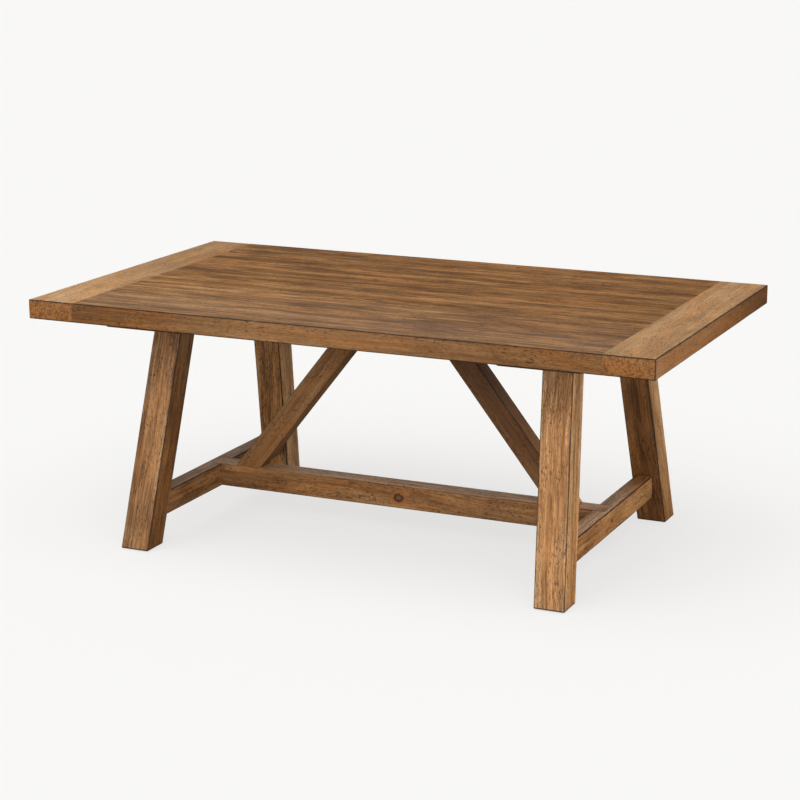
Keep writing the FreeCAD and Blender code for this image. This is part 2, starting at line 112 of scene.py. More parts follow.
def stretch(tree, vector, scales):
    return vector_calc(tree, "MULTIPLY", vector, scales)


def cloud(tree, vector, detail, roughness=0.5, distortion=0.0):
    """Smooth noise between about 0.25 and 0.75, with features one unit apart."""
    return put(tree, "TexNoise", {"Vector": vector, "Scale": 1.0, "Detail": detail,
                                  "Roughness": roughness, "Distortion": distortion}).outputs["Fac"]


def step(tree, value, low, high, start=0.0, end=1.0):
    """A soft step from start to end while value goes from low to high."""
    node = put(tree, "MapRange", {"Value": value, "From Min": low, "From Max": high,
                                  "To Min": start, "To Max": end}, interpolation_type="SMOOTHSTEP")
    return node.outputs[0]


def patches(tree, spot, scales, detail, low, high):
    """One where stretched noise is above high, and nothing where it is below low."""
    return step(tree, cloud(tree, stretch(tree, spot, scales), detail), low, high)


def mix(tree, amount, first, second):
    """Colour mixing: amount 0 gives the first colour and 1 the second."""
    return put(tree, "Mix", {0: amount, 6: first, 7: second}, data_type="RGBA").outputs[2]


def attribute(tree, name, socket="Vector"):
    return put(tree, "Attribute", attribute_name=name).outputs[socket]


def new_material(name):
    """An empty material with a Principled shader on its output."""
    material = bpy.data.materials.new(name)
    material.use_nodes = True
    tree = material.node_tree
    tree.nodes.clear()
    shader = put(tree, "BsdfPrincipled")
    put(tree, "OutputMaterial", {"Surface": shader.outputs[0]})
    return material, tree, shader


print("node helpers ready")

# %% [markdown]
# The stage is a wide pale floor with a pale wall far away all round. A studio would use a white paper sweep
# lit from all sides, so that no horizon shows and shadows stay faint. Here the floor and the wall glow by
# themselves, which does the same. They are hidden from the light that bounces, because real sweeps are kept
# far enough away not to tint the object, and the wall also lets all lamps shine through it.

# %% Floor and backdrop
FLOOR_HALF = 90.0
FLOOR_COLOUR = (0.20, 0.20, 0.199, 1.0)
FLOOR_GLOW = 0.72
WALL_COLOUR = (0.0, 0.0, 0.0, 1.0)
WALL_GLOW = 0.935
WALL_TALL = 80.0
WALL_SIDES = 96
GLOW_COLOUR = (1.0, 0.996, 0.983, 1.0)
STAGE_ROUGHNESS = 0.9


def glowing(name, colour, glow):
    """A dull material that also shines by itself."""
    material, _, shader = new_material(name)
    shader.inputs["Base Color"].default_value = colour
    shader.inputs["Roughness"].default_value = STAGE_ROUGHNESS
    shader.inputs["Specular IOR Level"].default_value = 0.0
    shader.inputs["Emission Color"].default_value = GLOW_COLOUR
    shader.inputs["Emission Strength"].default_value = glow
    return material


def stage_piece(name, points, faces, material):
    """Something round the object that only the camera sees, apart from the shadows on it."""
    mesh = bpy.data.meshes.new(name)
    mesh.from_pydata(points, [], faces)
    mesh.materials.append(material)
    piece = bpy.data.objects.new(name, mesh)
    bpy.context.scene.collection.objects.link(piece)
    piece.visible_diffuse = False
    piece.visible_glossy = False
    return piece


floor_points = [(x * FLOOR_HALF, y * FLOOR_HALF, 0) for x, y in ((-1, -1), (1, -1), (1, 1), (-1, 1))]
floor = stage_piece("floor", floor_points, [(0, 1, 2, 3)], glowing("pale floor", FLOOR_COLOUR, FLOOR_GLOW))
turns = [2 * math.pi * count / WALL_SIDES for count in range(WALL_SIDES)]
wall_points = [(FLOOR_HALF * math.cos(turn), FLOOR_HALF * math.sin(turn), level)
               for level in (0.0, WALL_TALL) for turn in turns]
wall_faces = [(count, (count + 1) % WALL_SIDES, WALL_SIDES + (count + 1) % WALL_SIDES, WALL_SIDES + count)
              for count in range(WALL_SIDES)]
backdrop = stage_piece("backdrop", wall_points, wall_faces, glowing("pale wall", WALL_COLOUR, WALL_GLOW))
backdrop.visible_shadow = False
backdrop.visible_transmission = False
print("floor", 2 * FLOOR_HALF, "m square, backdrop", WALL_TALL, "m tall")

# %% [markdown]
# The light is very soft, as in a furniture studio. A sun lamp with a huge angle acts as a patch of bright
# sky, and its shadows have no edge. The key patch is in front, low enough to reach under the top, and a panel
# near the right end brightens the outer faces there and fades towards the left. The floor has a patch of its
# own straight overhead, so that its faint shadow stays below the table. Light linking keeps the two apart. A
# white card behind the table is seen only as a reflection, and it gives the tops of the low rails their pale
# sheen. The world around adds a fill that is nearly white from above and warm from below.

# %% Light
SKY_COLOUR = (1.0, 0.95, 0.88, 1.0)
GROUND_COLOUR = (1.0, 0.82, 0.60, 1.0)
SKY_FILL = 0.31
GROUND_FILL = 0.15
HORIZON_BAND = (-0.10, 0.05)

world = bpy.data.worlds.new("studio")
world.use_nodes = True
sky = world.node_tree
rise = put(sky, "SeparateXYZ", {0: put(sky, "TexCoord").outputs["Generated"]}).outputs["Z"]
above = step(sky, rise, *HORIZON_BAND)
fill = calc(sky, "MULTIPLY_ADD", above, SKY_FILL - GROUND_FILL, GROUND_FILL)
background = sky.nodes["Background"]
sky.links.new(mix(sky, above, GROUND_COLOUR, SKY_COLOUR), background.inputs["Color"])
sky.links.new(fill, background.inputs["Strength"])
bpy.context.scene.world = world


def soft_lamp(kind, name, turn, height, strength, floor_only=False):
    """A lamp whose turn is from the front towards the right, for the floor alone or for all but the floor."""
    lamp = bpy.data.objects.new(name, bpy.data.lights.new(name, kind))
    lamp.data.energy = strength
    lamp.rotation_euler = (math.radians(90.0 - height), 0.0, math.radians(turn))
    bpy.context.scene.collection.objects.link(lamp)
    receivers = bpy.data.collections.new(name + " receivers")
    receivers.objects.link(floor)
    receivers.collection_objects[0].light_linking.link_state = "INCLUDE" if floor_only else "EXCLUDE"
    lamp.light_linking.receiver_collection = receivers
    return lamp


key = soft_lamp("SUN", "key", turn=12.0, height=38.0, strength=3.2)
key.data.angle = math.radians(115.0)
overhead = soft_lamp("SUN", "overhead", turn=-4.0, height=66.0, strength=2.8, floor_only=True)
overhead.data.angle = math.radians(80.0)
panel = soft_lamp("AREA", "side", turn=100.0, height=5.0, strength=12.5)
panel.location = (2.0, -0.3, 0.60)
panel.data.size = 1.2
panel.visible_camera = False
card = soft_lamp("AREA", "card", turn=180.0, height=0.0, strength=3.0)
card.location = (-0.7, 1.4, 0.58)
card.data.shape = "RECTANGLE"
card.data.size = 2.4
card.data.size_y = 0.30
card.visible_camera = False
card.visible_diffuse = False
bpy.context.scene.view_settings.view_transform = "Standard"
print("lamps:", [lamp.name for lamp in bpy.data.lights])

# %% [markdown]
# Every wooden piece of this table is a sawn board with its corners eased, whether it is a plank, a leg or a
# rail. A cube with a bevel would give the corners, but the same ones everywhere, and it can't lean. So a
# board here is a rounded rectangle that is swept from one end quad to another. The quads give the lean of the
# legs and the slope of a rail's shoulders, and the corner radius wanders a little along the way, as it does
# when someone eases an edge by hand.

# %% The section of a board
ARC_STEPS = 4
SUPPORT = 0.002
SUPPORT_MOST = 0.25
TINY = 1e-6
SECTION_CORNERS = ((0, 0, 180), (1, 0, 270), (1, 1, 0), (0, 1, 90))


def flat_shares(length, pieces):
    """Where a flat side is divided: close to both ends, to keep the shading flat, and evenly between."""
    near = min(SUPPORT / max(length, TINY), SUPPORT_MOST)
    return [near] + [count / pieces for count in range(1, pieces)] + [1 - near]


def section(low_a, high_a, low_b, high_b, radii, pieces):
    """Points round a rectangle with its own radius at each corner."""
    arcs = []
    for radius, (side_a, side_b, turn) in zip(radii, SECTION_CORNERS):
        middle_a = high_a - radius if side_a else low_a + radius
        middle_b = high_b - radius if side_b else low_b + radius
        turns = [math.radians(turn + 90 * count / ARC_STEPS) for count in range(ARC_STEPS + 1)]
        arcs.append([(middle_a + radius * math.cos(t), middle_b + radius * math.sin(t)) for t in turns])
    loop = []
    for index, arc in enumerate(arcs):
        (from_a, from_b), (to_a, to_b) = arc[-1], arcs[(index + 1) % 4][0]
        shares = flat_shares(math.hypot(to_a - from_a, to_b - from_b), pieces[index % 2])
        loop += arc + [(from_a + (to_a - from_a) * s, from_b + (to_b - from_b) * s) for s in shares]
    return loop


print("points in one section:", len(section(-1, 1, -1, 1, [0.1] * 4, (4, 2))))

# %% [markdown]
# A board needs sections often enough along its length to let its corners wander, and close together where
# its ends curl over. A real end is eased with a few strokes of a plane, which leaves a quarter round. We give
# each section a distance from the start and an inset, and near an eased end the pairs follow a quarter
# circle.

# %% Stations along a board
STATION_STEP = 0.045


def stations(length, start_ease, end_ease):
    """Pairs of distance from the start and inset, so that eased ends curl over."""
    def curl(ease):
        if ease <= 0:
            return [(0.0, 0.0)]
        turns = [math.pi / 2 * count / ARC_STEPS for count in range(ARC_STEPS + 1)]
        return [(ease - ease * math.cos(t), ease - ease * math.sin(t)) for t in turns]

    low = start_ease + SUPPORT
    high = length - end_ease - SUPPORT
    count = max(2, round((high - low) / STATION_STEP))
    middle = [(low + (high - low) * place / count, 0.0) for place in range(count + 1)]
    last = [(length - distance, inset) for distance, inset in reversed(curl(end_ease))]
    return curl(start_ease) + middle + last


print("stations on a two-metre board:", len(stations(2.0, 0.003, 0.003)))

# %% [markdown]
# The sweep itself joins one section to the next with four-sided faces and closes each end with one face. Real
# boards are never quite flat, so every point is also moved by a tenth of a millimetre of slow noise. That is
# far too little to see as a shape, but it keeps long reflections from looking ruled.

# %% Sweep a board between two quads
WAVE = 0.00012
WAVE_SCALE = 5.0
WEAR_SCALE = 7.0
WEAR_SHARE = 0.45
CORNERS_APART = 9.0
SEED_SPAN = 40
SHARP_DEGREES = 40
SEED = 11
dice = random.Random(SEED)
# Vector noise starts from the clock unless it gets a seed, and then no two runs would be alike.
noise.seed_set(SEED)


def quad_point(quad, share_a, share_b):
    """A point inside a quad, by its share of the way along both sides."""
    low = quad[0].lerp(quad[1], share_a)
    high = quad[3].lerp(quad[2], share_a)
    return low.lerp(high, share_b)


def skin(rings, count, hollow=False):
    """Faces between rings of count points each. Both ends are closed, unless the shape is hollow."""
    faces = []
    for ring in range(rings if hollow else rings - 1):
        here, there = ring * count, (ring + 1) % rings * count
        for place in range(count):
            following = (place + 1) % count
            faces.append((here + place, here + following, there + following, there + place))
    if not hollow:
        faces.append(tuple(reversed(range(count))))
        faces.append(tuple(range((rings - 1) * count, rings * count)))
    return faces


def smooth_faces(mesh):
    """Smooth shading that breaks at sharp corners."""
    mesh.shade_smooth()
    mesh.set_sharp_from_angle(angle=math.radians(SHARP_DEGREES))


def new_piece(name, points, faces):
    """A mesh object made of points and faces."""
    mesh = bpy.data.meshes.new(name)
    mesh.from_pydata(points, [], faces)
    mesh.validate()
    smooth_faces(mesh)
    piece = bpy.data.objects.new(name, mesh)
    bpy.context.scene.collection.objects.link(piece)
    return piece


def board(name, start, end, radii, pieces=(4, 2), start_ease=0.0, end_ease=0.0, ease_sides=(1, 1, 1, 1)):
    """A board from a start quad to an end quad, with a corner radius for each of its long arrises."""
    half_a = (start[1] - start[0]).length / 2
    half_b = (start[3] - start[0]).length / 2
    length = (sum(end, Vector()) / 4 - sum(start, Vector()) / 4).length
    seed = Vector([dice.uniform(-SEED_SPAN, SEED_SPAN) for _ in range(3)])
    points = []
    for distance, inset in stations(length, start_ease, end_ease):
        quad = [a.lerp(b, distance / length) for a, b in zip(start, end)]
        worn = []
        for corner, radius in enumerate(radii):
            spot = seed + Vector((distance * WEAR_SCALE, CORNERS_APART * corner, 0))
            worn.append(radius * (1 + WEAR_SHARE * noise.noise(spot)))
        trim = [inset * side for side in ease_sides]
        loop = section(trim[0] - half_a, half_a - trim[1], trim[2] - half_b, half_b - trim[3], worn, pieces)
        for a, b in loop:
            point = quad_point(quad, a / half_a / 2 + 0.5, b / half_b / 2 + 0.5)
            points.append(point + noise.noise_vector(point * WAVE_SCALE + seed) * WAVE)
    return new_piece(name, points, skin(len(points) // len(loop), len(loop)))


print("boards sweep with", STATION_STEP, "m between stations")

# %% [markdown]
# A board has to tell the wood material where its fibres run, however the board leans. So we store a few
# vectors on its points: the place inside the board, with a random offset that makes each board's figure its
# own, the place inside the rim that the glaze follows and the size of that rim, the board's tone, which also
# carries painted light and shade, the way to its knot, and how much glaze, painted sheen and calm it has. A
# single face may be made lighter or darker than the rest, as painted light or shade on that face. The places
# change evenly along the board, so few points are enough to carry them exactly. Faces that lie inside the
# board's outline can only be the walls of holes, and they get a mark too, for a painted shade in the holes.
# So do the lowest few millimetres of the legs, for a painted shadow line along the foot of each leg.

# %% Mark the grain of a board
# Green and blue follow a tone more steeply, so a paler tone is also greyer, like painted sheen, and a darker
# one richer, like painted shade.
TONE_SPREAD = np.array((1.0, 1.25, 1.65))
OFFSET_SPANS = ((-6, 6), (-0.35, 0.35), (0.05, 0.4))
NO_KNOT = (9.0, 9.0, 9.0)
CUT_DEPTH = 0.0004
FOOT_SHADOW_LINE = 0.0085


def mark(mesh, name, values):
    """Stores one vector for each point of a mesh."""
    layer = mesh.attributes.new(name, "FLOAT_VECTOR", "POINT")
    layer.data.foreach_set("vector", np.asarray(values, np.float32).ravel())


def board_place(points, start, end):
    """Place of points along a board's length, width and thickness, and the board's half sizes."""
    middle = sum(start + end, Vector()) / 8
    along = (sum(end, Vector()) - sum(start, Vector())) / 8
    aside = sum((q[1] + q[2] - q[0] - q[3] for q in (start, end)), Vector()) / 8
    through = sum((q[2] + q[3] - q[0] - q[1] for q in (start, end)), Vector()) / 8
    half = np.array([along.length, aside.length, through.length])
    axes = np.array([along, aside, through], float)
    return np.linalg.solve(axes.T, (points - np.array(middle)).T).T * half, half


def spread(shares, values):
    """Values that are spread evenly along the board, read at some shares of its length."""
    return np.interp(shares, np.linspace(0, 1, len(values)), values)


def mark_grain(piece, start, end, rim, tone, face_light_and_stain, coats, knot):
    """Each face entry names an axis, a way along it, and tones along the face: painted light and shade, and
    on the breadboard ends partly stain. A knot has a point, the axis of its core, and a size.
    """
    points = np.array([vertex.co for vertex in piece.data.vertices], float)
    place, half = board_place(points, start, end)
    rim_place, rim_half = board_place(points, *(rim or (start, end)))
    offset = [dice.uniform(*span) for span in OFFSET_SPANS]
    share = np.clip(place[:, :1] / half[0] / 2 + 0.5, 0, 1)
    tones = spread(share, tone)
    # Each listed face gets its tones multiplied in: painted light or shade on that face.
    for axis, way, changes in face_light_and_stain:
        on_it = half[axis] - way * place[:, axis] < CUT_DEPTH
        tones[on_it] *= spread(share[on_it], changes)
    to_knot = np.tile(NO_KNOT, (len(points), 1))
    if knot:
        centre, axis, size = knot
        to_knot = (place - board_place(np.array([centre]), start, end)[0]) / size
        to_knot[:, axis] = 0.0
    mark(piece.data, "place", place + np.array(offset))
    mark(piece.data, "rim", rim_place)
    mark(piece.data, "rim_half", np.tile(rim_half, (len(points), 1)))
    mark(piece.data, "tone", tones ** TONE_SPREAD)
    mark(piece.data, "coats", np.tile(coats, (len(points), 1)))
    mark(piece.data, "knot", to_knot)
    middles = np.array([polygon.center for polygon in piece.data.polygons], float)
    middle_place, whole = board_place(middles, start, end)
    # Painted shade: the walls of holes, and a painted shadow line at the foot of each leg.
    dark = (whole - np.abs(middle_place)).min(1) > CUT_DEPTH
    dark |= middles[:, 2] < FOOT_SHADOW_LINE
    piece.data.attributes.new("cut", "FLOAT", "FACE").data.foreach_set("value", dark.astype(np.float32))


print("grain marks: place, rim, rim_half, tone, coats, knot, cut")

# %% [markdown]
# No two boards of a real table match. Some are pale and some dark, often from one end to the other, the glaze
# is rubbed thin on some edges, and a few boards show a knot. Much of the lightness listed here is painted
# light, though: paler tones and a painted sheen where the front of the top catches a sheen, darker tones
# where shade falls under the top, and single faces made lighter or darker for the light and shade on them.
# These small differences are listed here by the CAD node that each board stands for. The finishing step
# puts the marks on the board, gives it its wood, and hides the CAD node that it replaces.

# %% Finish a board
ALONG, ASIDE, THROUGH = 0, 1, 2
TONE_JITTER = (0.97, 1.03)
# Tones along each board, partly the board's own colour and partly painted light. The front planks and the
# front of the left breadboard are paler as a painted sheen. The head of the front right leg is paler where
# light reaches under the top. The right back leg and the right brace are darker as painted shade under the
# top.
BOARD_TONE_AND_LIGHT = {
    "leg_front_right": (1.24, 1.28, 1.58), "leg_front_left": (1.04, 1.08, 1.18),
    "leg_back_left": (1.10, 1.12), "leg_back_right": (0.44, 0.72),
    "brace_left": (0.86, 0.98, 1.2, 0.86, 0.42), "brace_right": (0.64, 0.53, 0.38),
    "crossbar_left": (0.85, 0.93), "crossbar_right": (1.06, 1.06), "stretcher": (0.86, 0.86),
    "breadboard_left": (1.52, 1.06, 0.93), "breadboard_right": (0.98, 0.99),
    "top_plank_1": (1.42, 1.10), "top_plank_2": (1.42, 1.03), "top_plank_3": (1.32, 0.98),
    "top_plank_4": (1.20, 0.96), "top_plank_5": (1.16, 0.97), "top_plank_6": (1.12, 0.98),
}
# Painted light and shade on single faces, along each face. The tops of the stretcher and the right crossbar
# get a pale painted sheen. Faces turned to the right under the top are lighter. Faces turned in under the
# table are darker, and the outer face of the right breadboard darkens towards the back. The front edge of the
# top is darker at its left and lighter in the middle. The darker front ends of the breadboards are partly
# end-grain stain and partly painted shade.
FACE_LIGHT_AND_STAIN = {
    "leg_front_left": [(ASIDE, 1, (0.74,))],
    "leg_back_left": [(ASIDE, 1, (2.0, 1.3))],
    "leg_back_right": [(ASIDE, 1, (2.15, 2.0))],
    "brace_left": [(ASIDE, 1, (0.8,))],
    "brace_right": [(ASIDE, 1, (2.6, 1.1, 0.5))],
    "crossbar_right": [(THROUGH, 1, (1.75, 1.5, 1.2, 0.75))],
    "stretcher": [(THROUGH, 1, (1.3,) + (2.1,) * 8 + (1.0,))],
    "breadboard_left": [(ALONG, -1, (0.57,))],
    "breadboard_right": [(ALONG, -1, (0.84,)), (ASIDE, 1, (0.78, 0.64, 0.34))],
    "top_plank_1": [(ASIDE, -1, (0.64, 0.86, 1.28, 1.2, 0.94, 1.0))],
}
BOARD_GLAZE = {"stretcher": 0.35, "brace_left": 0.2, "head_cleat_left": 0.3, "head_cleat_right": 0.3,
               "leg_front_right": 0.7, "leg_front_left": 0.7, "top_plank_1": 0.7}
# How much pale grey is mixed into the front planks: a painted sheen.
BOARD_PAINTED_SHEEN = {"top_plank_1": 0.14, "top_plank_2": 0.08, "top_plank_3": 0.02}
BOARD_CALM = {"brace_left": 0.5, "brace_right": 0.5, "stretcher": 0.3}
KNOTS = {
    "top_plank_2": ((0.400, -0.360, 0.762), THROUGH, 1.0),
    "top_plank_3": ((0.100, -0.129, 0.762), THROUGH, 0.8),
    "top_plank_4": ((-0.162, 0.140, 0.762), THROUGH, 1.2),
    "top_plank_6": ((0.388, 0.446, 0.762), THROUGH, 1.0),
    "stretcher": ((-0.004, -0.036, 0.120), ASIDE, 2.2),
}


def finish_board(piece, start, end, material, node, rim=None):
    """Grain, finish with its painted light and shade, and the CAD node that this board stands for."""
    jitter = dice.uniform(*TONE_JITTER)
    tone = [value * jitter for value in BOARD_TONE_AND_LIGHT.get(node, (1.0, 1.0))]
    coats = (BOARD_GLAZE.get(node, 1.0), BOARD_PAINTED_SHEEN.get(node, 0.0), BOARD_CALM.get(node, 0.0))
    mark_grain(piece, start, end, rim, tone, FACE_LIGHT_AND_STAIN.get(node, []), coats, KNOTS.get(node))
    piece.data.materials.append(material)
    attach(piece, "table")
    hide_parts(node)


print("boards with a knot:", len(KNOTS))

# %% [markdown]
# Housings, bolt holes and the recesses under the feet are cut with a Boolean modifier, as a router would cut
# them, and the result is made the board's own mesh. The cutters are blocks and turned shapes. A turned shape
# is a profile of radius and height spun round an axis, and its radius may also change with the angle, which
# gives hexagons, slots and crosses for the hardware later on.

# %% Cutters
TURN_STEPS = 48
CUTTER_PROUD = 0.001
UP = (0, 0, 1)


def block(name, low, high):
    """A plain block between two corners, for cutting with."""
    points = [Vector((x, y, z)) for z in (low[2], high[2]) for y in (low[1], high[1])
              for x in (low[0], high[0])]
    faces = [(0, 2, 3, 1), (4, 5, 7, 6), (0, 1, 5, 4), (2, 6, 7, 3), (0, 4, 6, 2), (1, 3, 7, 5)]
    return new_piece(name, points, faces)


def turned(profile, base, axis, hollow=False):
    """Spins a profile of (radius, height) round an axis from base. A hollow one closes on itself."""
    axis = Vector(axis).normalized()
    aside = axis.orthogonal().normalized()
    across = axis.cross(aside)
    points = []
    for radius, height in profile:
        for count in range(TURN_STEPS):
            turn = 2 * math.pi * count / TURN_STEPS
            reach = radius(turn) if callable(radius) else radius
            spoke = aside * math.cos(turn) + across * math.sin(turn)
            points.append(Vector(base) + spoke * reach + axis * height)
    return points, skin(len(profile), TURN_STEPS, hollow)


def drill(name, radius, base, axis, depth):
    """A cutter for a round hole that starts a little outside the wood."""
    return new_piece(name, *turned([(radius, -CUTTER_PROUD), (radius, depth)], base, axis))


def cut(piece, cutter):
    """Takes the cutter's shape out of the piece and removes the cutter."""
    modifier = piece.modifiers.new("cut", "BOOLEAN")
    modifier.operation = "DIFFERENCE"
    modifier.solver = "EXACT"
    modifier.object = cutter
    depsgraph = bpy.context.evaluated_depsgraph_get()
    mesh = bpy.data.meshes.new_from_object(piece.evaluated_get(depsgraph), depsgraph=depsgraph)
    piece.modifiers.clear()
    piece.data = mesh
    smooth_faces(mesh)
    bpy.data.objects.remove(cutter)


print("cutters ready")

# %% [markdown]
# The wood is a stained hardwood with a long, streaky figure. All of its colour lives in the board's own
# place, so it stays put from every side. Two helpers come first: one bends that place by a slow drift,
# because trees don't grow straight, and the other works out how far a point is from the nearest corner of the
# board. It takes the distance in the material and not on the points, because between two points on opposite
# edges the distance first grows and then shrinks again.

# %% Where we are in the board
BEND_SCALES = (1.7, 3.0, 3.0)
BEND_REACH = 0.06


def grain_place(tree):
    """The place inside the board, bent by a slow drift."""
    place = attribute(tree, "place")
    drift = cloud(tree, stretch(tree, place, BEND_SCALES), 1.0)
    bend = calc(tree, "MULTIPLY_ADD", drift, BEND_REACH, -BEND_REACH / 2)
    sideways = put(tree, "CombineXYZ", {"X": 0.0, "Y": bend, "Z": bend}).outputs[0]
    return vector_calc(tree, "ADD", place, sideways)


def edge_distances(tree):
    """How far a point is from the nearest arris, and from the nearest end and side of its board."""
    away = vector_calc(tree, "ABSOLUTE", attribute(tree, "rim"))
    room = vector_calc(tree, "SUBTRACT", attribute(tree, "rim_half"), away)
    along, aside, through = put(tree, "SeparateXYZ", {0: room}).outputs
    low = calc(tree, "MINIMUM", aside, through)
    high = calc(tree, "MAXIMUM", aside, through)
    arris = calc(tree, "MAXIMUM", low, calc(tree, "MINIMUM", high, along))
    return arris, along, aside


print("grain helpers ready")

# %% [markdown]
# On the real table the colour has several layers: broad bands a hand wide, narrow streaks, fine fibres, and
# dark pores like short dashes. Each layer is noise stretched along the board, because a tree grows its fibres
# that way. The layers are sums of the same noise at different sizes, so a short list holds them.

# %% Bands, streaks and flecks
Layer = namedtuple("Layer", "scales detail roughness weight")
FIGURE_LAYERS = (Layer((0.8, 21.0, 21.0), 4.0, 0.62, 0.66), Layer((2.6, 95.0, 95.0), 4.0, 0.65, 0.70),
                 Layer((11.0, 290.0, 290.0), 3.0, 0.6, 0.60), Layer((6.0, 13.0, 13.0), 3.0, 0.6, 0.40))
PORE_SCALES = (70.0, 1000.0, 1000.0)
PORE_STEP = (0.58, 0.68)
PORE_STRENGTH = 0.5
FLECK_SCALES = (72.0, 330.0, 330.0)
FLECK_STEP = (0.55, 0.65)
FLECK_STRENGTH = 0.72
DRIFT_SCALES = (9.0, 24.0, 24.0)
DRIFT_STEP = (0.36, 0.58)


def wood_figure(tree, spot, streaks):
    """The figure of the wood as one value round 0.5."""
    figure = 0.5
    for layer in FIGURE_LAYERS:
        bands = cloud(tree, stretch(tree, spot, layer.scales), layer.detail, layer.roughness)
        bands = calc(tree, "SUBTRACT", bands, 0.5)
        figure = calc(tree, "MULTIPLY_ADD", bands, layer.weight * streaks, figure)
    return figure


def contour(tree, value, width):
    """A thin line wherever the value crosses one half."""
    return step(tree, calc(tree, "ABSOLUTE", calc(tree, "SUBTRACT", value, 0.5)), 0.0, width, 1.0, 0.0)


def wood_flecks(tree, spot, amount):
    """Fine pores everywhere, and longer dark flecks that come in drifts."""
    pores = patches(tree, spot, PORE_SCALES, 1.0, *PORE_STEP)
    drift = patches(tree, spot, DRIFT_SCALES, 2.0, *DRIFT_STEP)
    fleck = patches(tree, spot, FLECK_SCALES, 2.0, *FLECK_STEP)
    fleck = times(tree, times(tree, fleck, drift), FLECK_STRENGTH * amount)
    return calc(tree, "MAXIMUM", times(tree, pores, PORE_STRENGTH), fleck)


print("wood layers:", len(FIGURE_LAYERS))

# %% [markdown]
# Three things lie on top of that figure. On the ends of a board the fibres are seen end on, as a small
# wriggling pattern, and the bands and flecks of the long faces are hardly seen. A knot is the foot of a
# branch: a dark core with a paler swelling round it. And the maker rubbed a dark glaze into the edges, which
# stays as a ragged line along each corner.

# %% Ends, knots and glaze
FACE_STEP = (0.0004, 0.0016)
END_SCALES = (1.0, 140.0, 140.0)
END_STEP = (0.40, 0.58)
KNOT_SCALES = (0.80, 1.0, 1.0)
KNOT_RAGGED_SCALES = (130.0, 190.0, 190.0)
KNOT_RAGGED = 0.006
KNOT_EYE = (0.0014, 0.0034, 0.55)
KNOT_RIM = (0.0010, 0.0026, 0.95)
KNOT_RIM_PLACE = 0.0045
KNOT_SWELLING = (0.006, 0.015, 0.8)
GLAZE_SCALES = (22.0, 90.0, 90.0)
GLAZE_REACH = 0.007
GLAZE_LEAST = 0.0008
GLAZE_STEP = (0.35, 1.0, 0.92)


def fade(tree, value, low, high, strength=1.0):
    """The given strength below low, and nothing above high."""
    return step(tree, value, low, high, strength, 0.0)


def on_face(tree, room):
    """One on the faces that the given room runs out at, and nothing elsewhere."""
    return fade(tree, room, *FACE_STEP)


def end_lines(tree, spot, along):
    """Wriggling marks, only on the end faces."""
    wriggle = cloud(tree, stretch(tree, spot, END_SCALES), 2.0, 0.6, 1.2)
    return times(tree, fade(tree, wriggle, *END_STEP), on_face(tree, along))


def knot_rings(tree, spot):
    """How much of the knot's core and of the swelling round it a point gets."""
    flat = stretch(tree, attribute(tree, "knot"), KNOT_SCALES)
    distance = put(tree, "VectorMath", {0: flat}, operation="LENGTH").outputs["Value"]
    ragged = cloud(tree, stretch(tree, spot, KNOT_RAGGED_SCALES), 3.0)
    inner = calc(tree, "SUBTRACT", distance, KNOT_RAGGED / 2)
    distance = calc(tree, "MULTIPLY_ADD", ragged, KNOT_RAGGED, inner)
    eye = fade(tree, distance, *KNOT_EYE)
    from_rim = calc(tree, "ABSOLUTE", calc(tree, "SUBTRACT", distance, KNOT_RIM_PLACE))
    rim = fade(tree, from_rim, *KNOT_RIM)
    return calc(tree, "MAXIMUM", eye, rim), fade(tree, distance, *KNOT_SWELLING)


def corner_glaze(tree, spot, arris, glaze):
    """The ragged dark line along the corners, thinner on some boards."""
    ragged = cloud(tree, stretch(tree, spot, GLAZE_SCALES), 2.0)
    reach = calc(tree, "MULTIPLY_ADD", ragged, GLAZE_REACH, GLAZE_LEAST)
    return times(tree, fade(tree, calc(tree, "DIVIDE", arris, reach), *GLAZE_STEP), glaze)


print("end lines, knots and glaze ready")

# %% [markdown]
# Now the colour of the bare wood. A colour ramp turns the figure into dark, middle and light bands, and warm
# patches, pale lines and small curls are mixed in. Painting each plank by hand would give more control, but
# noise gives every board a figure of its own for free. Each of the table's woods is a short list of values,
# from the colours of its bands to the stain of its ends and sides.

# %% Bands of colour
PLAIN = (1.0, 1.0, 1.0)
WOOD_VALUES = "dark middle light roughness streaks flecks curl end_stain side_stain edge_calm shine"
Wood = namedtuple("Wood", WOOD_VALUES, defaults=(0.5, 1.0, 1.0, 0.3, PLAIN, PLAIN, 0.0, 0.35))
RAMP_ENDS = (0.34, 0.66)
WARM_SCALES = (3.0, 30.0, 30.0)
WARM_STEP = (0.42, 0.62)
WARM_TINT = (1.10, 0.97, 0.80)
LINE_SCALES = (1.1, 150.0, 150.0)
LINE_STEP = (0.63, 0.74)
LINE_STRENGTH = 0.55
CURL_SCALES = (26.0, 62.0, 62.0)
CURL_WIDTH = 0.035


def band_colours(tree, figure, wood):
    """Dark, middle and light bands, by the figure."""
    ramp = put(tree, "ValToRGB", {"Fac": figure})
    first, last = ramp.color_ramp.elements
    first.position, last.position = RAMP_ENDS
    first.color = wood.dark
    last.color = wood.light
    ramp.color_ramp.elements.new(0.5).color = wood.middle
    return ramp.outputs["Color"]


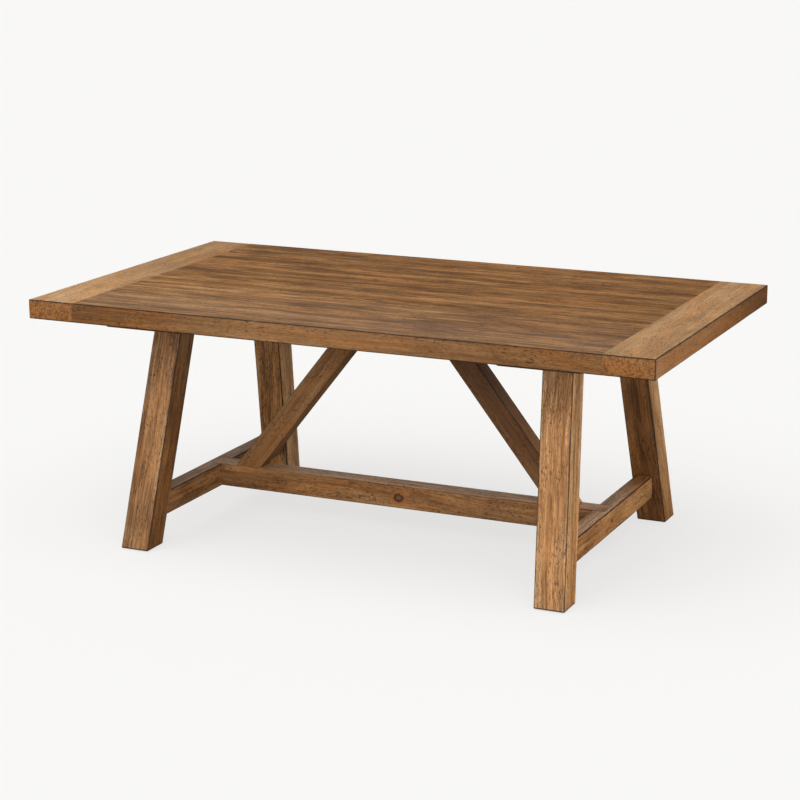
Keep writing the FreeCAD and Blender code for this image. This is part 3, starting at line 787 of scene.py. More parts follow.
def bare_wood(tree, spot, figure, bold, wood):
    """The bands with warm patches, pale lines and small dark curls. Bold is how much the lines show."""
    colour = band_colours(tree, figure, wood)
    warm = patches(tree, spot, WARM_SCALES, 3.0, *WARM_STEP)
    colour = mix(tree, warm, colour, stretch(tree, colour, WARM_TINT))
    line = times(tree, patches(tree, spot, LINE_SCALES, 2.0, *LINE_STEP), bold)
    colour = mix(tree, times(tree, line, LINE_STRENGTH * wood.streaks), colour, wood.light)
    wriggle = cloud(tree, stretch(tree, spot, CURL_SCALES), 2.0, 0.5, 1.2)
    return mix(tree, times(tree, contour(tree, wriggle, CURL_WIDTH), wood.curl), colour, wood.dark)


print("colour bands ready")

# %% [markdown]
# The finished wood takes the other layers one after another, in the order in which they would lie on the real
# board: knot, pores, end grain, the board's tone with its painted light and shade, the stain of ends and
# sides, a painted sheen, and glaze. Last comes a painted shade, nearly black, on the walls of holes and along
# the foot of each leg. The same figure also makes the surface: the dark pores are sunk a little, and the pale
# wood is a little shinier than the dark.

# %% The stained wood
GLAZE_AND_SHADE_COLOUR = (0.018, 0.012, 0.009, 1.0)
PAINTED_SHEEN_COLOUR = (0.33, 0.29, 0.25, 1.0)
SWELLING_TINT = (1.30, 0.95, 0.60, 1.0)
DEEP_SHARE = 0.40
END_CALM = 0.7
END_STRENGTH = 0.7
PAINTED_SHADE_STRENGTH = 0.9
SATIN_BY_FIGURE = -0.20
SATIN_BY_PORES = 0.15
BUMP_STRENGTH = 0.35
BUMP_DEPTH = 0.0006


def surface(tree, shader, figure, speck, roughness):
    """Shine and relief that follow the figure and the pores."""
    satin = calc(tree, "MULTIPLY_ADD", figure, SATIN_BY_FIGURE, roughness - SATIN_BY_FIGURE / 2)
    satin = calc(tree, "MULTIPLY_ADD", speck, SATIN_BY_PORES, satin)
    tree.links.new(satin, shader.inputs["Roughness"])
    height = calc(tree, "MULTIPLY_ADD", speck, -1.0, figure)
    bump = put(tree, "Bump", {"Strength": BUMP_STRENGTH, "Distance": BUMP_DEPTH, "Height": height})
    tree.links.new(bump.outputs[0], shader.inputs["Normal"])


def stained_wood(name, wood):
    """A stained hardwood as a material."""
    material, tree, shader = new_material(name)
    spot = grain_place(tree)
    arris, along, aside = edge_distances(tree)
    end = on_face(tree, along)
    side = on_face(tree, aside)
    edge = calc(tree, "MAXIMUM", end, side)
    glaze, painted_sheen, calm = put(tree, "SeparateXYZ", {0: attribute(tree, "coats")}).outputs
    still = calc(tree, "MAXIMUM", times(tree, edge, wood.edge_calm), times(tree, end, END_CALM))
    bold = calc(tree, "SUBTRACT", 1.0, calc(tree, "MAXIMUM", still, calm))
    figure = wood_figure(tree, spot, wood.streaks)
    figure = calc(tree, "MULTIPLY_ADD", calc(tree, "SUBTRACT", figure, 0.5), bold, 0.5)
    colour = bare_wood(tree, spot, figure, bold, wood)
    deep = [channel * DEEP_SHARE for channel in wood.dark[:3]] + [1.0]
    core, swelling = knot_rings(tree, spot)
    swollen = [channel * tint for channel, tint in zip(wood.middle, SWELLING_TINT)]
    colour = mix(tree, swelling, colour, swollen)
    colour = mix(tree, core, colour, deep)
    speck = wood_flecks(tree, spot, wood.flecks)
    speck = times(tree, speck, calc(tree, "MULTIPLY_ADD", end, -END_CALM, 1.0))
    colour = mix(tree, speck, colour, deep)
    colour = mix(tree, times(tree, end_lines(tree, spot, along), END_STRENGTH), colour, deep)
    # The tone is the board's own colour together with its painted light and shade.
    colour = stretch(tree, colour, attribute(tree, "tone"))
    colour = mix(tree, end, colour, stretch(tree, colour, wood.end_stain))
    colour = mix(tree, side, colour, stretch(tree, colour, wood.side_stain))
    # Painted sheen: a pale grey over the faces of the front planks, kept off their edges.
    colour = mix(tree, times(tree, painted_sheen, calc(tree, "SUBTRACT", 1.0, edge)), colour, PAINTED_SHEEN_COLOUR)
    colour = mix(tree, corner_glaze(tree, spot, arris, glaze), colour, GLAZE_AND_SHADE_COLOUR)
    # Painted shade: hole walls and the lowest millimetres of the legs turn nearly black.
    colour = mix(tree, times(tree, attribute(tree, "cut", "Fac"), PAINTED_SHADE_STRENGTH), colour, GLAZE_AND_SHADE_COLOUR)
    tree.links.new(colour, shader.inputs["Base Color"])
    surface(tree, shader, figure, speck, wood.roughness)
    shader.inputs["Specular IOR Level"].default_value = wood.shine
    return material


field_wood = stained_wood("field wood", Wood(
    dark=(0.10, 0.045, 0.0145, 1), middle=(0.235, 0.104, 0.029, 1), light=(0.42, 0.21, 0.072, 1),
    streaks=1.08, side_stain=(0.86, 0.90, 1.14), edge_calm=0.65, shine=0.12))
breadboard_wood = stained_wood("breadboard wood", Wood(
    dark=(0.22, 0.105, 0.040, 1), middle=(0.43, 0.24, 0.105, 1), light=(0.60, 0.36, 0.18, 1),
    streaks=0.55, flecks=1.2, curl=0.15, end_stain=(0.94, 0.76, 0.52), side_stain=(0.757, 0.674, 0.56),
    edge_calm=0.35, shine=0.28))
base_wood = stained_wood("base wood", Wood(
    dark=(0.12, 0.052, 0.017, 1), middle=(0.29, 0.140, 0.050, 1), light=(0.48, 0.26, 0.11, 1),
    streaks=0.88, flecks=1.2, curl=0.4, shine=0.28))
hidden_wood = stained_wood("hidden wood", Wood(
    dark=(0.10, 0.048, 0.020, 1), middle=(0.22, 0.115, 0.052, 1), light=(0.36, 0.20, 0.10, 1),
    roughness=0.62))
print("woods:", [wood.name for wood in (field_wood, breadboard_wood, base_wood, hidden_wood)])

# %% [markdown]
# The top is six planks side by side between two breadboard ends. Each plank's own box in the frame gives its
# width and thickness, and the inner faces of the breadboards give its length, because the tongues that go on
# into the breadboards are out of sight. Only the outer arrises of the top are eased as far as a thumb would
# notice. At the seams a hair of softness is enough to catch a line of shadow.

# %% Planks
OUTER_EASE = 0.0028
SEAM_EASE = 0.0005
left_low, left_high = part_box("breadboard_left")
right_low, right_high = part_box("breadboard_right")
PLANKS = [name for name in sorted(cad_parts) if name.startswith("top_plank_")]


def upright_quad(axis, place, low, high):
    """A quad square to X (0) or Y (1) at one place, between two corners' other values."""
    quad = []
    for across, up in ((low, low), (high, low), (high, high), (low, high)):
        corner = Vector((across[0], across[1], up[2]))
        corner[axis] = place
        quad.append(corner)
    return quad


whole_top = [upright_quad(0, place, left_low, right_high) for place in (left_low.x, right_high.x)]
for plank_name in PLANKS:
    low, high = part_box(plank_name)
    start = upright_quad(0, left_high.x, low, high)
    end = upright_quad(0, right_low.x, low, high)
    front = OUTER_EASE if plank_name == PLANKS[0] else SEAM_EASE
    back = OUTER_EASE if plank_name == PLANKS[-1] else SEAM_EASE
    plank = board("plank_" + plank_name[-1], start, end, (front, back, back, front), (5, 2))
    finish_board(plank, start, end, field_wood, plank_name, rim=whole_top)
print("planks:", len(PLANKS))

# %% [markdown]
# The breadboard ends run across the planks and keep them flat. Their grain therefore runs front to back, and
# their end grain looks out of the front edge of the table. The outer arrises are eased like the rest of the
# top, and the inner one stays crisp, because it only meets the planks.

# %% Breadboard ends
SEAM_SHARE = SEAM_EASE / OUTER_EASE
cross_top = [upright_quad(1, place, left_low, right_high) for place in (left_low.y, left_high.y)]
for side, low, high in (("left", left_low, left_high), ("right", right_low, right_high)):
    radii = (OUTER_EASE, SEAM_EASE, SEAM_EASE, OUTER_EASE)
    ease_sides = (1, SEAM_SHARE, 1, 1)
    if side == "right":
        radii = (SEAM_EASE, OUTER_EASE, OUTER_EASE, SEAM_EASE)
        ease_sides = (SEAM_SHARE, 1, 1, 1)
    node = "breadboard_" + side
    start = upright_quad(1, low.y, low, high)
    end = upright_quad(1, high.y, low, high)
    end_board = board("breadboard_end_" + side, start, end, radii, (5, 2), OUTER_EASE, OUTER_EASE, ease_sides)
    finish_board(end_board, start, end, breadboard_wood, node, rim=cross_top)
print("breadboard ends: 2")

# %% [markdown]
# Each leg leans two ways at once, and it is cut level at the top and bottom. So its section is the same level
# rectangle at every height, only shifted. We read that rectangle from the CAD mesh, just above the foot and
# at the head, and sweep between the two. The foot is eased, and its underside has the recess for the
# leveller.

# %% Legs
LEG_EASE = 0.0032
FOOT_EASE = 0.0022
SHIN_TALL = 0.002
LEVEL_SLACK = 0.0001
RECESS_GAP = 0.003
STEM_SHARE = 0.66
CORNERS = [edge + "_" + side for side in ("left", "right") for edge in ("front", "back")]


def level_box(node, low, high):
    """Smallest and largest X and Y of a node's points between two heights."""
    points = [vertex.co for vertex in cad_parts[node].data.vertices if low <= vertex.co.z <= high]
    xs = [point.x for point in points]
    ys = [point.y for point in points]
    return min(xs), min(ys), max(xs), max(ys)


def level_quad(node, height, slack_above=LEVEL_SLACK):
    """The level rectangle of a leaning node at one height."""
    x0, y0, x1, y1 = level_box(node, height - LEVEL_SLACK, height + slack_above)
    return [Vector((x, y, height)) for x, y in ((x0, y0), (x1, y0), (x1, y1), (x0, y1))]


for corner in CORNERS:
    node = "leg_" + corner
    low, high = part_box(node)
    shin = low.z + SHIN_TALL
    full = level_quad(node, shin)
    end = level_quad(node, high.z, 0.0)
    back_step = (low.z - shin) / (high.z - shin)
    start = [a + (b - a) * back_step for a, b in zip(full, end)]
    leg = board("trestle_leg_" + corner, start, end, (LEG_EASE,) * 4, (3, 3), FOOT_EASE, 0.0)
    base_low, base_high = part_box("leveller_base_" + corner)
    stem_low, stem_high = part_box("leveller_stem_" + corner)
    centre = (base_low + base_high) / 2
    recess = (base_high.x - base_low.x) / 2 + RECESS_GAP
    hole = (stem_high.y - stem_low.y) / 2 * STEM_SHARE
    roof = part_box("leveller_inserts")[0].z
    profile = [(recess, -CUTTER_PROUD), (recess, roof), (hole, roof), (hole, stem_high.z)]
    cut(leg, new_piece("recess", *turned(profile, (centre.x, centre.y, 0.0), UP)))
    finish_board(leg, start, end, base_wood, node)
print("legs:", len(CORNERS))

# %% [markdown]
# Two rails tie each pair of legs: a head rail up under the top and a crossbar low down. Their shoulders are
# cut to the slope of the legs, so the end quads lean. The shoulders are read from the CAD mesh at the lower
# and upper face of the rail, and the board runs one millimetre on into the legs, so that no light shows
# through the joint. The head rails are counterbored from below for the bolts that pull the top down.

# %% Head rails
RAIL_EASE = 0.0022
INTO_JOINT = 0.001
HOLE_GAP = 0.0005
SIDES = (("left", -1), ("right", 1))


def leaning_quad(node, way, low, high):
    """The shoulder of a rail at its front (-1) or back (1) end."""
    place = 1 if way < 0 else 3
    y_low, y_high = (level_box(node, z - LEVEL_SLACK, z + LEVEL_SLACK)[place] + way * INTO_JOINT
                     for z in (low.z, high.z))
    return [Vector((low.x, y_low, low.z)), Vector((high.x, y_low, low.z)),
            Vector((high.x, y_high, high.z)), Vector((low.x, y_high, high.z))]


def rail_board(node):
    """A rail between two legs, with its end quads."""
    low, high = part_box(node)
    start = leaning_quad(node, -1, low, high)
    end = leaning_quad(node, 1, low, high)
    return board("trestle_" + node, start, end, (RAIL_EASE,) * 4, (2, 2)), start, end


washer_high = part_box("top_bolt_washers")[1]
rail_low, rail_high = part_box("head_rail_right")
rail_x = (rail_low.x + rail_high.x) / 2
washer_radius = washer_high.x - rail_x
bore_radius = washer_radius + HOLE_GAP
bore_depth = washer_high.z - rail_low.z
for side, sign in SIDES:
    node = "head_rail_" + side
    rail, start, end = rail_board(node)
    for edge in (-1, 1):
        mouth = (sign * rail_x, edge * (washer_high.y - washer_radius), rail_low.z)
        cut(rail, drill("counterbore", bore_radius, mouth, UP, bore_depth))
    finish_board(rail, start, end, hidden_wood, node)
print("head rails: 2")

# %% [markdown]
# The crossbars carry the stretcher. Each has a housing in its top where the end of the stretcher drops in,
# and a round hole in its outer face where the head of the connecting bolt sits out of harm's way. That dark
# dot is the only fastening that shows on the finished table.

# %% Crossbars
LAP_GAP = 0.0002
HOUSING_OVERRUN = 0.002
HEAD_ROOM = 0.006
ABOVE_ALL = 1.0
bolt_low, bolt_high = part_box("stretcher_bolts")
lap_low, lap_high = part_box("stretcher")
tongue_under = min(vertex.co.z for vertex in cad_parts["stretcher"].data.vertices
                   if abs(vertex.co.x) > lap_high.x - HOLE_GAP)
bolt_radius = (bolt_high.y - bolt_low.y) / 2
bolt_z = (bolt_low.z + bolt_high.z) / 2
for side, sign in SIDES:
    node = "crossbar_" + side
    low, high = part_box(node)
    rail, start, end = rail_board(node)
    inner, outer = (low.x, high.x) if sign > 0 else (high.x, low.x)
    xs = sorted((inner - sign * HOUSING_OVERRUN, sign * (lap_high.x + LAP_GAP)))
    housing_low = (xs[0], lap_low.y - LAP_GAP, tongue_under)
    housing_high = (xs[1], lap_high.y + LAP_GAP, ABOVE_ALL)
    cut(rail, block("housing", housing_low, housing_high))
    depth = abs(outer) - bolt_high.x + HEAD_ROOM
    cut(rail, drill("bolt hole", bolt_radius + HOLE_GAP, (outer, 0, bolt_z), (-sign, 0, 0), depth))
    finish_board(rail, start, end, base_wood, node)

# %% [markdown]
# The stretcher runs the length of the table between the crossbars, and its ends are halved to drop into them
# from above, flush on top. We sweep it full height to the very ends and then cut the lower part of each end
# away, which leaves the lap. Its underside is drilled for the barrel nuts that the connecting bolts grip and
# for the bolts that hold the feet of the braces.

# %% Stretcher
HALVING_OVERRUN = 0.01
HOLE_ROOM = 0.008
inner_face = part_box("crossbar_right")[0].x
start = upright_quad(0, lap_low.x, lap_low, lap_high)
end = upright_quad(0, lap_high.x, lap_low, lap_high)
stretcher_bar = board("stretcher_bar", start, end, (RAIL_EASE,) * 4, (2, 2))
for sign in (-1, 1):
    xs = sorted((sign * inner_face, sign * (lap_high.x + HALVING_OVERRUN)))
    cut(stretcher_bar, block("halving", (xs[0], -1, 0), (xs[1], 1, tongue_under)))
    for hardware in ("stretcher_barrel_nuts", "brace_bolts"):
        low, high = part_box(hardware)
        mouth = (sign * (high.x - high.y), 0, lap_low.z)
        depth = low.z - lap_low.z + HOLE_ROOM
        cut(stretcher_bar, drill("hole", high.y + HOLE_GAP, mouth, UP, depth))
finish_board(stretcher_bar, start, end, base_wood, "stretcher")
print("stretcher length, m:", round(lap_high.x - lap_low.x, 3))

# %% [markdown]
# The two braces stand on the stretcher and lean in to the middle of the top. Both of their ends are cut
# level, so like the legs they are one level rectangle that slides along. Each has a small hole in its back
# face, for the barrel nut that takes the bolt coming up through the stretcher.

# %% Braces
nut_low, nut_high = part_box("brace_barrel_nuts")
nut_radius = (nut_high.z - nut_low.z) / 2
nut_z = (nut_high.z + nut_low.z) / 2


def brace_ends(node):
    """The level rectangles at the foot and head of a brace."""
    return level_quad(node, lap_high.z), level_quad(node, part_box(node)[1].z, 0.0)


for side, sign in SIDES:
    node = "brace_" + side
    low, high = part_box(node)
    foot, head = brace_ends(node)
    run = (head[0] - foot[0]) / (high.z - lap_high.z)
    start = [point - run * INTO_JOINT for point in foot]
    end = [point + run * INTO_JOINT for point in head]
    brace = board("diagonal_brace_" + side, start, end, (RAIL_EASE,) * 4, (2, 2))
    mouth = (sign * (nut_high.x - nut_radius), high.y, nut_z)
    depth = high.y - nut_high.y + HOLE_ROOM
    cut(brace, drill("nut hole", nut_radius + HOLE_GAP, mouth, (0, -1, 0), depth))
    finish_board(brace, start, end, base_wood, node)
print("braces: 2")

# %% [markdown]
# Up under the top, a wide flat cleat joins the planks above each trestle. From most sides it is only a dark
# sliver below the edge of the top, so it gets a plainer, rougher wood. Its lower arrises are eased, because a
# hand finds them when the table is carried.

# %% Head cleats
CLEAT_EASE = 0.002
for side, _ in SIDES:
    node = "head_cleat_" + side
    low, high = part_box(node)
    start = upright_quad(1, low.y, low, high)
    end = upright_quad(1, high.y, low, high)
    radii = (CLEAT_EASE, CLEAT_EASE, SEAM_EASE, SEAM_EASE)
    cleat = board("cleat_" + side, start, end, radii, (4, 1), CLEAT_EASE, CLEAT_EASE)
    finish_board(cleat, start, end, hidden_wood, node)
print("cleats: 2")

# %% [markdown]
# Now the hardware. Screws and bolts have a dark zinc finish, so they disappear in their holes, the inserts
# are turned brass, the plate at the brace heads is powder coated, and the feet stand on nylon. Metals get
# patches of wear, the coating and the nylon a fine grain, and the pegs the bare wood that they were split
# from.

# %% Hardware finishes
PATCH_STEP = (0.3, 0.7)
SHINE_SPREAD = 0.25
SHINE_SHIFT = 0.12


def speckled(name, colour, roughness, metallic, scales, contrast):
    """A plain finish whose colour and shine vary in small patches."""
    material, tree, shader = new_material(name)
    place = put(tree, "TexCoord").outputs["Object"]
    speckle = cloud(tree, stretch(tree, place, scales), 3.0)
    shade = [channel * (1 - contrast) for channel in colour[:3]] + [1.0]
    tree.links.new(mix(tree, step(tree, speckle, *PATCH_STEP), shade, colour), shader.inputs["Base Color"])
    satin = calc(tree, "MULTIPLY_ADD", speckle, SHINE_SPREAD, roughness - SHINE_SHIFT)
    tree.links.new(satin, shader.inputs["Roughness"])
    shader.inputs["Metallic"].default_value = metallic
    return material


FINISHES = {
    "zinc_steel": speckled("dark zinc", (0.11, 0.11, 0.115, 1.0), roughness=0.42, metallic=1.0,
                           scales=(300.0, 300.0, 300.0), contrast=0.4),
    "brass_insert": speckled("brass", (0.72, 0.52, 0.23, 1.0), roughness=0.35, metallic=1.0,
                             scales=(300.0, 300.0, 300.0), contrast=0.25),
    "black_steel": speckled("black coating", (0.030, 0.030, 0.031, 1.0), roughness=0.55, metallic=0.0,
                            scales=(900.0, 900.0, 900.0), contrast=0.3),
    "foot_nylon": speckled("black nylon", (0.020, 0.020, 0.020, 1.0), roughness=0.5, metallic=0.0,
                           scales=(600.0, 600.0, 600.0), contrast=0.2),
    "pin_wood": speckled("bare pin wood", (0.52, 0.34, 0.18, 1.0), roughness=0.6, metallic=0.0,
                         scales=(420.0, 420.0, 40.0), contrast=0.45),
}


def finish_hardware(piece, slot, body, *nodes):
    """Finish of a piece of hardware, the body that it rides on, and the CAD nodes that it stands for."""
    piece.data.materials.append(FINISHES[slot])
    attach(piece, body)
    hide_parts(*nodes)


print("hardware finishes:", list(FINISHES))

# %% [markdown]
# One CAD node can hold many equal screws. So we take such a node apart into its separate solids, by walking
# over the faces that share a point, and then measure each solid: its axis is the way in which its points
# spread most, its head is the thicker end, and from there we know its length and both of its radii.

# %% Measure the turned parts
HEAD_SHARE = 0.97
TIP_SLACK = 1e-5
PLACE_DIGITS = 6
Spindle = namedtuple("Spindle", "base axis length head shank cap")


def solids(node):
    """The points of each separate solid of a CAD node."""
    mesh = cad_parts[node].data
    places = [tuple(round(value, PLACE_DIGITS) for value in vertex.co) for vertex in mesh.vertices]
    leader = {place: place for place in places}

    def lead(place):
        while leader[place] != place:
            leader[place] = leader[leader[place]]
            place = leader[place]
        return place

    for polygon in mesh.polygons:
        first = lead(places[polygon.vertices[0]])
        for index in polygon.vertices:
            leader[lead(places[index])] = first
    lumps = {}
    for place in sorted(leader):
        lumps.setdefault(lead(place), []).append(place)
    return [np.array(lump) for lump in lumps.values()]


def spindle(points, outward=None):
    """Measures a long turned solid. Its base is its outer end: the thicker one, or the one that is told."""
    middle = points.mean(0)
    axis = np.linalg.svd(points - middle, full_matrices=False)[2][0]
    along = (points - middle) @ axis
    across = np.linalg.norm(points - middle - np.outer(along, axis), axis=1)
    head = across.max()
    thick = across > head * HEAD_SHARE
    if outward:
        way = axis @ np.array(outward)
    else:
        way = along[thick].mean() - (along.min() + along.max()) / 2
    inward = -axis if way > 0 else axis
    depth = (points - middle) @ inward
    base = middle + inward * depth.min()
    cap = depth[thick].max() - depth.min()
    shank = across[depth > depth.max() - TIP_SLACK].max()
    return Spindle(Vector(base), Vector(inward), float(np.ptp(depth)), float(head), float(shank), float(cap))


print("separate screws under the cleats:", len(solids("cleat_screws")))

# %% [markdown]
# A screw is turned from its recess outwards: the floor of the recess, its mouth, the face of the head, the
# rounded rim, the neck and the shank. The recess is a cross for wood screws and a hexagon for bolts, and both
# are simply a radius that depends on the angle. All screws of one CAD node become one mesh.

# %% Shapes of screws and bolts
CROSS_WAIST = 0.36
CROSS_SHARPNESS = 4
DRIVE_TAPER = 0.75
DRIVE_DEPTH = 0.6
DOME_CURVE = 0.3
TIP_SHARE = 0.35


def cross(size):
    """Outline of a cross recess."""
    return lambda turn: size * (CROSS_WAIST + (1 - CROSS_WAIST) * abs(math.cos(2 * turn)) ** CROSS_SHARPNESS)


def hexagon(flats):
    """Outline of a hexagon, by the distance across its flats."""
    return lambda turn: flats / 2 / math.cos((turn + math.pi / 6) % (math.pi / 3) - math.pi / 6)


def fastener(part, drive, drive_share, dome):
    """A screw or bolt on a measured spindle. Dome is the share of the head that is rounded."""
    size = part.head * drive_share
    profile = [(drive(size * DRIVE_TAPER), part.cap * DRIVE_DEPTH), (drive(size), 0.0),
               (part.head * (1 - dome), 0.0),
               (part.head * (1 - dome * DOME_CURVE), part.cap * dome * DOME_CURVE),
               (part.head, part.cap * dome), (part.head, part.cap), (part.shank, part.cap),
               (part.shank, part.length - part.shank), (part.shank * TIP_SHARE, part.length)]
    return turned(profile, part.base, part.axis)


def joined(name, shapes):
    """Several shapes as one piece."""
    points, faces = [], []
    for shape_points, shape_faces in shapes:
        first = len(points)
        points += shape_points
        faces += [tuple(first + corner for corner in face) for face in shape_faces]
    return new_piece(name, points, faces)


def hardware_set(node, slot, shape):
    """All solids of a CAD node as one piece, each given a shape from its points."""
    piece = joined(node[:-1] + "_set", [shape(points) for points in solids(node)])
    finish_hardware(piece, slot, "table", node)


def wood_screw(points):
    return fastener(spindle(points), cross, drive_share=0.62, dome=0.5)


def bolt(points):
    return fastener(spindle(points), hexagon, drive_share=1.0, dome=0.14)


for node in ("cleat_screws", "bracket_screws"):
    hardware_set(node, "zinc_steel", wood_screw)
for node in ("top_bolts", "stretcher_bolts", "brace_bolts"):
    hardware_set(node, "zinc_steel", bolt)
print("screws and bolts turned")

# %% [markdown]
# Washers and threaded inserts are rings, so their profile closes on itself, and their edges are broken a
# little, as a die and a lathe leave them. A barrel nut is a plain steel pin, with a slot in its end so that a
# screwdriver can turn its thread towards the bolt.

# %% Washers, inserts and barrel nuts
RING_CHAMFER = 0.2
NUT_CHAMFER = 0.12
SLOT_LENGTH = 1.5
SLOT_SLIMNESS = 5


def slot_outline(length):
    """Outline of a screwdriver slot."""
    half_long = length / 2
    half_wide = length / SLOT_SLIMNESS / 2
    return lambda turn: min(half_long / max(abs(math.cos(turn)), TINY),
                            half_wide / max(abs(math.sin(turn)), TINY))


def ring(points):
    """A ring round a vertical axis, measured from its solid."""
    low, high = points.min(0), points.max(0)
    centre = (low + high) / 2
    reach = np.linalg.norm(points[:, :2] - centre[:2], axis=1)
    outer, inner, tall = reach.max(), reach.min(), high[2] - low[2]
    chamfer = RING_CHAMFER * min(tall, outer - inner)
    profile = [(inner + chamfer, 0), (outer - chamfer, 0), (outer, chamfer), (outer, tall - chamfer),
               (outer - chamfer, tall), (inner + chamfer, tall), (inner, tall - chamfer), (inner, chamfer)]
    return turned(profile, (centre[0], centre[1], low[2]), UP, hollow=True)


def barrel_nut(part):
    """A slotted steel pin."""
    chamfer = part.head * NUT_CHAMFER
    slot = slot_outline(part.head * SLOT_LENGTH)
    profile = [(slot, chamfer * 2), (slot, 0.0), (part.head - chamfer, 0.0), (part.head, chamfer),
               (part.head, part.length - chamfer), (part.head - chamfer, part.length)]
    return turned(profile, part.base, part.axis)


for node, slot in (("cleat_washers", "zinc_steel"), ("top_bolt_washers", "zinc_steel"),
                   ("leveller_inserts", "brass_insert")):
    hardware_set(node, slot, ring)
for node, outward in (("stretcher_barrel_nuts", (0, 0, -1)), ("brace_barrel_nuts", (0, 1, 0))):
    hardware_set(node, "zinc_steel", lambda points: barrel_nut(spindle(points, outward)))
print("rings and nuts turned")

# %% [markdown]
# The plate at the brace heads is one strip of steel, bent twice. A bent strip never has a sharp fold: the
# outside of each bend stretches into a curve. So we follow a path along the middle of the steel, with an arc
# at each bend, and sweep a thin rounded rectangle along it.

# %% Bent plate
BEND_RADIUS = 0.006
BEND_STEPS = 6
PLATE_EASE = 0.0008
FLAT_SHARE = 0.8
MIRROR = Vector((-1, 1, 1))


def bent_path(corners, radius):
    """Points along straight runs, with an arc in place of each inner corner."""
    path = [corners[0]]
    for before, corner, after in zip(corners, corners[1:], corners[2:]):
        into = (corner - before).normalized()
        out = (after - corner).normalized()
        trim = radius * math.tan(into.angle(out) / 2)
        first, last = corner - into * trim, corner + out * trim
        for count in range(BEND_STEPS + 1):
            share = count / BEND_STEPS
            path.append(first.lerp(corner, share).lerp(corner.lerp(last, share), share))
    return path + [corners[-1]]


def strip(name, path, width, thickness):
    """Sweeps a flat rounded section along a path that lies in the X and Z plane."""
    loop = section(-width / 2, width / 2, -thickness / 2, thickness / 2, (PLATE_EASE,) * 4, (2, 1))
    points = []
    for index, point in enumerate(path):
        ahead = (path[min(index + 1, len(path) - 1)] - path[max(index - 1, 0)]).normalized()
        normal = ahead.cross(Vector((0, 1, 0)))
        points += [point + Vector((0, a, 0)) + normal * b for a, b in loop]
    return new_piece(name, points, skin(len(path), len(loop)))


plate_low, plate_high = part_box("brace_bracket")
plate_points = [vertex.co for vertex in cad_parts["brace_bracket"].data.vertices]
bend_x = level_box("brace_right", plate_high.z - LEVEL_SLACK, ABOVE_ALL)[0]
flat_levels = [point.z for point in plate_points if abs(point.x) < bend_x * FLAT_SHARE]
thickness = max(flat_levels) - min(flat_levels)
foot, head = brace_ends("brace_right")
slope = (foot[0] - head[0]).normalized()
square = Vector((-slope.z, 0, slope.x))
square = square if square.z < 0 else -square
wing = (plate_high.z - plate_low.z + square.z * thickness) / -slope.z
fold = Vector((bend_x, 0, plate_high.z))
bend = fold + Vector((0, 0, -thickness / 2)) + square.project(Vector((1, 0, 0))) * thickness / 2
tip = fold + slope * wing + square * thickness / 2
corners = [tip * MIRROR, bend * MIRROR, bend, tip]
plate = strip("bent_plate", bent_path(corners, BEND_RADIUS), plate_high.y - plate_low.y, thickness)
finish_hardware(plate, "black_steel", "table", "brace_bracket")
print("plate, mm thick:", round(thickness * 1000, 2))

# %% [markdown]
# Pegs pin the breadboards to the tongues of the planks from below. A joiner splits them with a chisel, so
# they are a little faceted, and they stand proud of the wood by less than a millimetre. The splines, dowels
# and top inserts lie fully inside the wood. Their CAD shapes are right as they are, so they only get a
# finish.

# %% Pegs and hidden pins
PEG_PROUD = 0.0006
PEG_FACETS = 9
PEG_FACET_DEPTH = 0.05
PEG_SHARE = 0.97
PEG_END_SHARE = 0.80


def peg(part):
    """A split peg with flat facets and a trimmed end."""
    outline = [part.head * (1 + PEG_FACET_DEPTH * math.cos(PEG_FACETS * 2 * math.pi * count / TURN_STEPS))
               for count in range(TURN_STEPS)]

    def reach(share):
        return lambda turn: outline[round(turn / 2 / math.pi * TURN_STEPS) % TURN_STEPS] * share

    profile = [(reach(PEG_END_SHARE), -PEG_PROUD), (reach(PEG_SHARE), 0.0), (reach(PEG_SHARE), part.length)]
    return turned(profile, part.base, part.axis)


pegs = joined("peg_set", [peg(spindle(points, (0, 0, -1))) for points in solids("breadboard_pegs")])
finish_hardware(pegs, "pin_wood", "table", "breadboard_pegs")
for node, slot in (("plank_splines", "pin_wood"), ("leg_dowels", "pin_wood"),
                   ("top_inserts", "brass_insert")):
    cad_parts[node].data.materials.clear()
    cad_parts[node].data.materials.append(FINISHES[slot])
print("pegs:", len(solids("breadboard_pegs")))

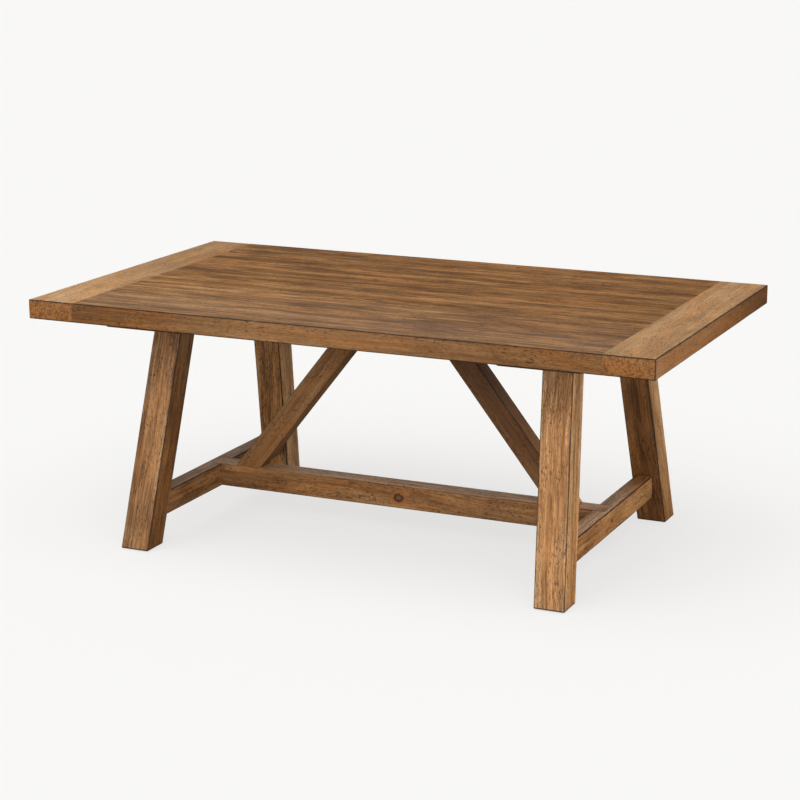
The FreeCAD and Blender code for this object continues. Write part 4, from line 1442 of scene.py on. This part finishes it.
# %% [markdown]
# Each leg ends in a levelling foot: a nylon sole, a hexagon that a spanner can turn, and a threaded stem that
# goes up into the brass insert. The sole and stem ride on the foot's own body, so they go down with it when
# the foot is screwed out. The thread is a real helix, a radius that depends on the angle and the height.

# %% Levelling feet
SOLE_SHAPE = ((0.90, 0.0), (0.97, 0.08), (1.0, 0.3), (1.0, 0.55), (0.96, 0.78), (0.80, 0.93), (0.60, 1.0))
SHANK_SHARE = 0.25
HEX_FLATS = 0.017
HEX_TALL = 0.005
HEX_CHAMFER = 0.0006
HEX_CHAMFER_SHARE = 0.94
THREAD_PITCH = 0.0015
THREAD_DEPTH = 0.0008
RINGS_PER_TURN = 4


def thread(radius, height):
    """Radius round a screw thread at one height."""
    def reach(turn):
        share = (height / THREAD_PITCH - turn / (2 * math.pi)) % 1.0
        return radius - THREAD_DEPTH * abs(2 * share - 1)
    return reach


for corner in CORNERS:
    base_low, base_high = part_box("leveller_base_" + corner)
    stem_low, stem_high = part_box("leveller_stem_" + corner)
    centre = (base_low + base_high) / 2
    ground = (centre.x, centre.y, 0.0)
    radius = (base_high.x - base_low.x) / 2
    tall = base_high.z
    sole_profile = [(radius * wide, tall * up) for wide, up in SOLE_SHAPE]
    sole = joined("sole_" + corner, [turned(sole_profile, ground, UP)])
    finish_hardware(sole, "foot_nylon", "leveller_" + corner, "leveller_base_" + corner)
    shank = radius * SHANK_SHARE
    nut_top = tall + HEX_TALL
    count = round((stem_high.z - nut_top) / THREAD_PITCH * RINGS_PER_TURN)
    heights = [nut_top + (stem_high.z - nut_top) * place / count for place in range(count + 1)]
    wide, slim = hexagon(HEX_FLATS), hexagon(HEX_FLATS * HEX_CHAMFER_SHARE)
    stem_profile = [(shank, stem_low.z), (shank, tall), (slim, tall), (wide, tall + HEX_CHAMFER),
                    (wide, nut_top - HEX_CHAMFER), (slim, nut_top)]
    stem_profile += [(thread(shank, height), height) for height in heights]
    stem = joined("stem_" + corner, [turned(stem_profile, ground, UP)])
    finish_hardware(stem, "zinc_steel", "leveller_" + corner, "leveller_stem_" + corner)
print("levelling feet:", len(CORNERS))
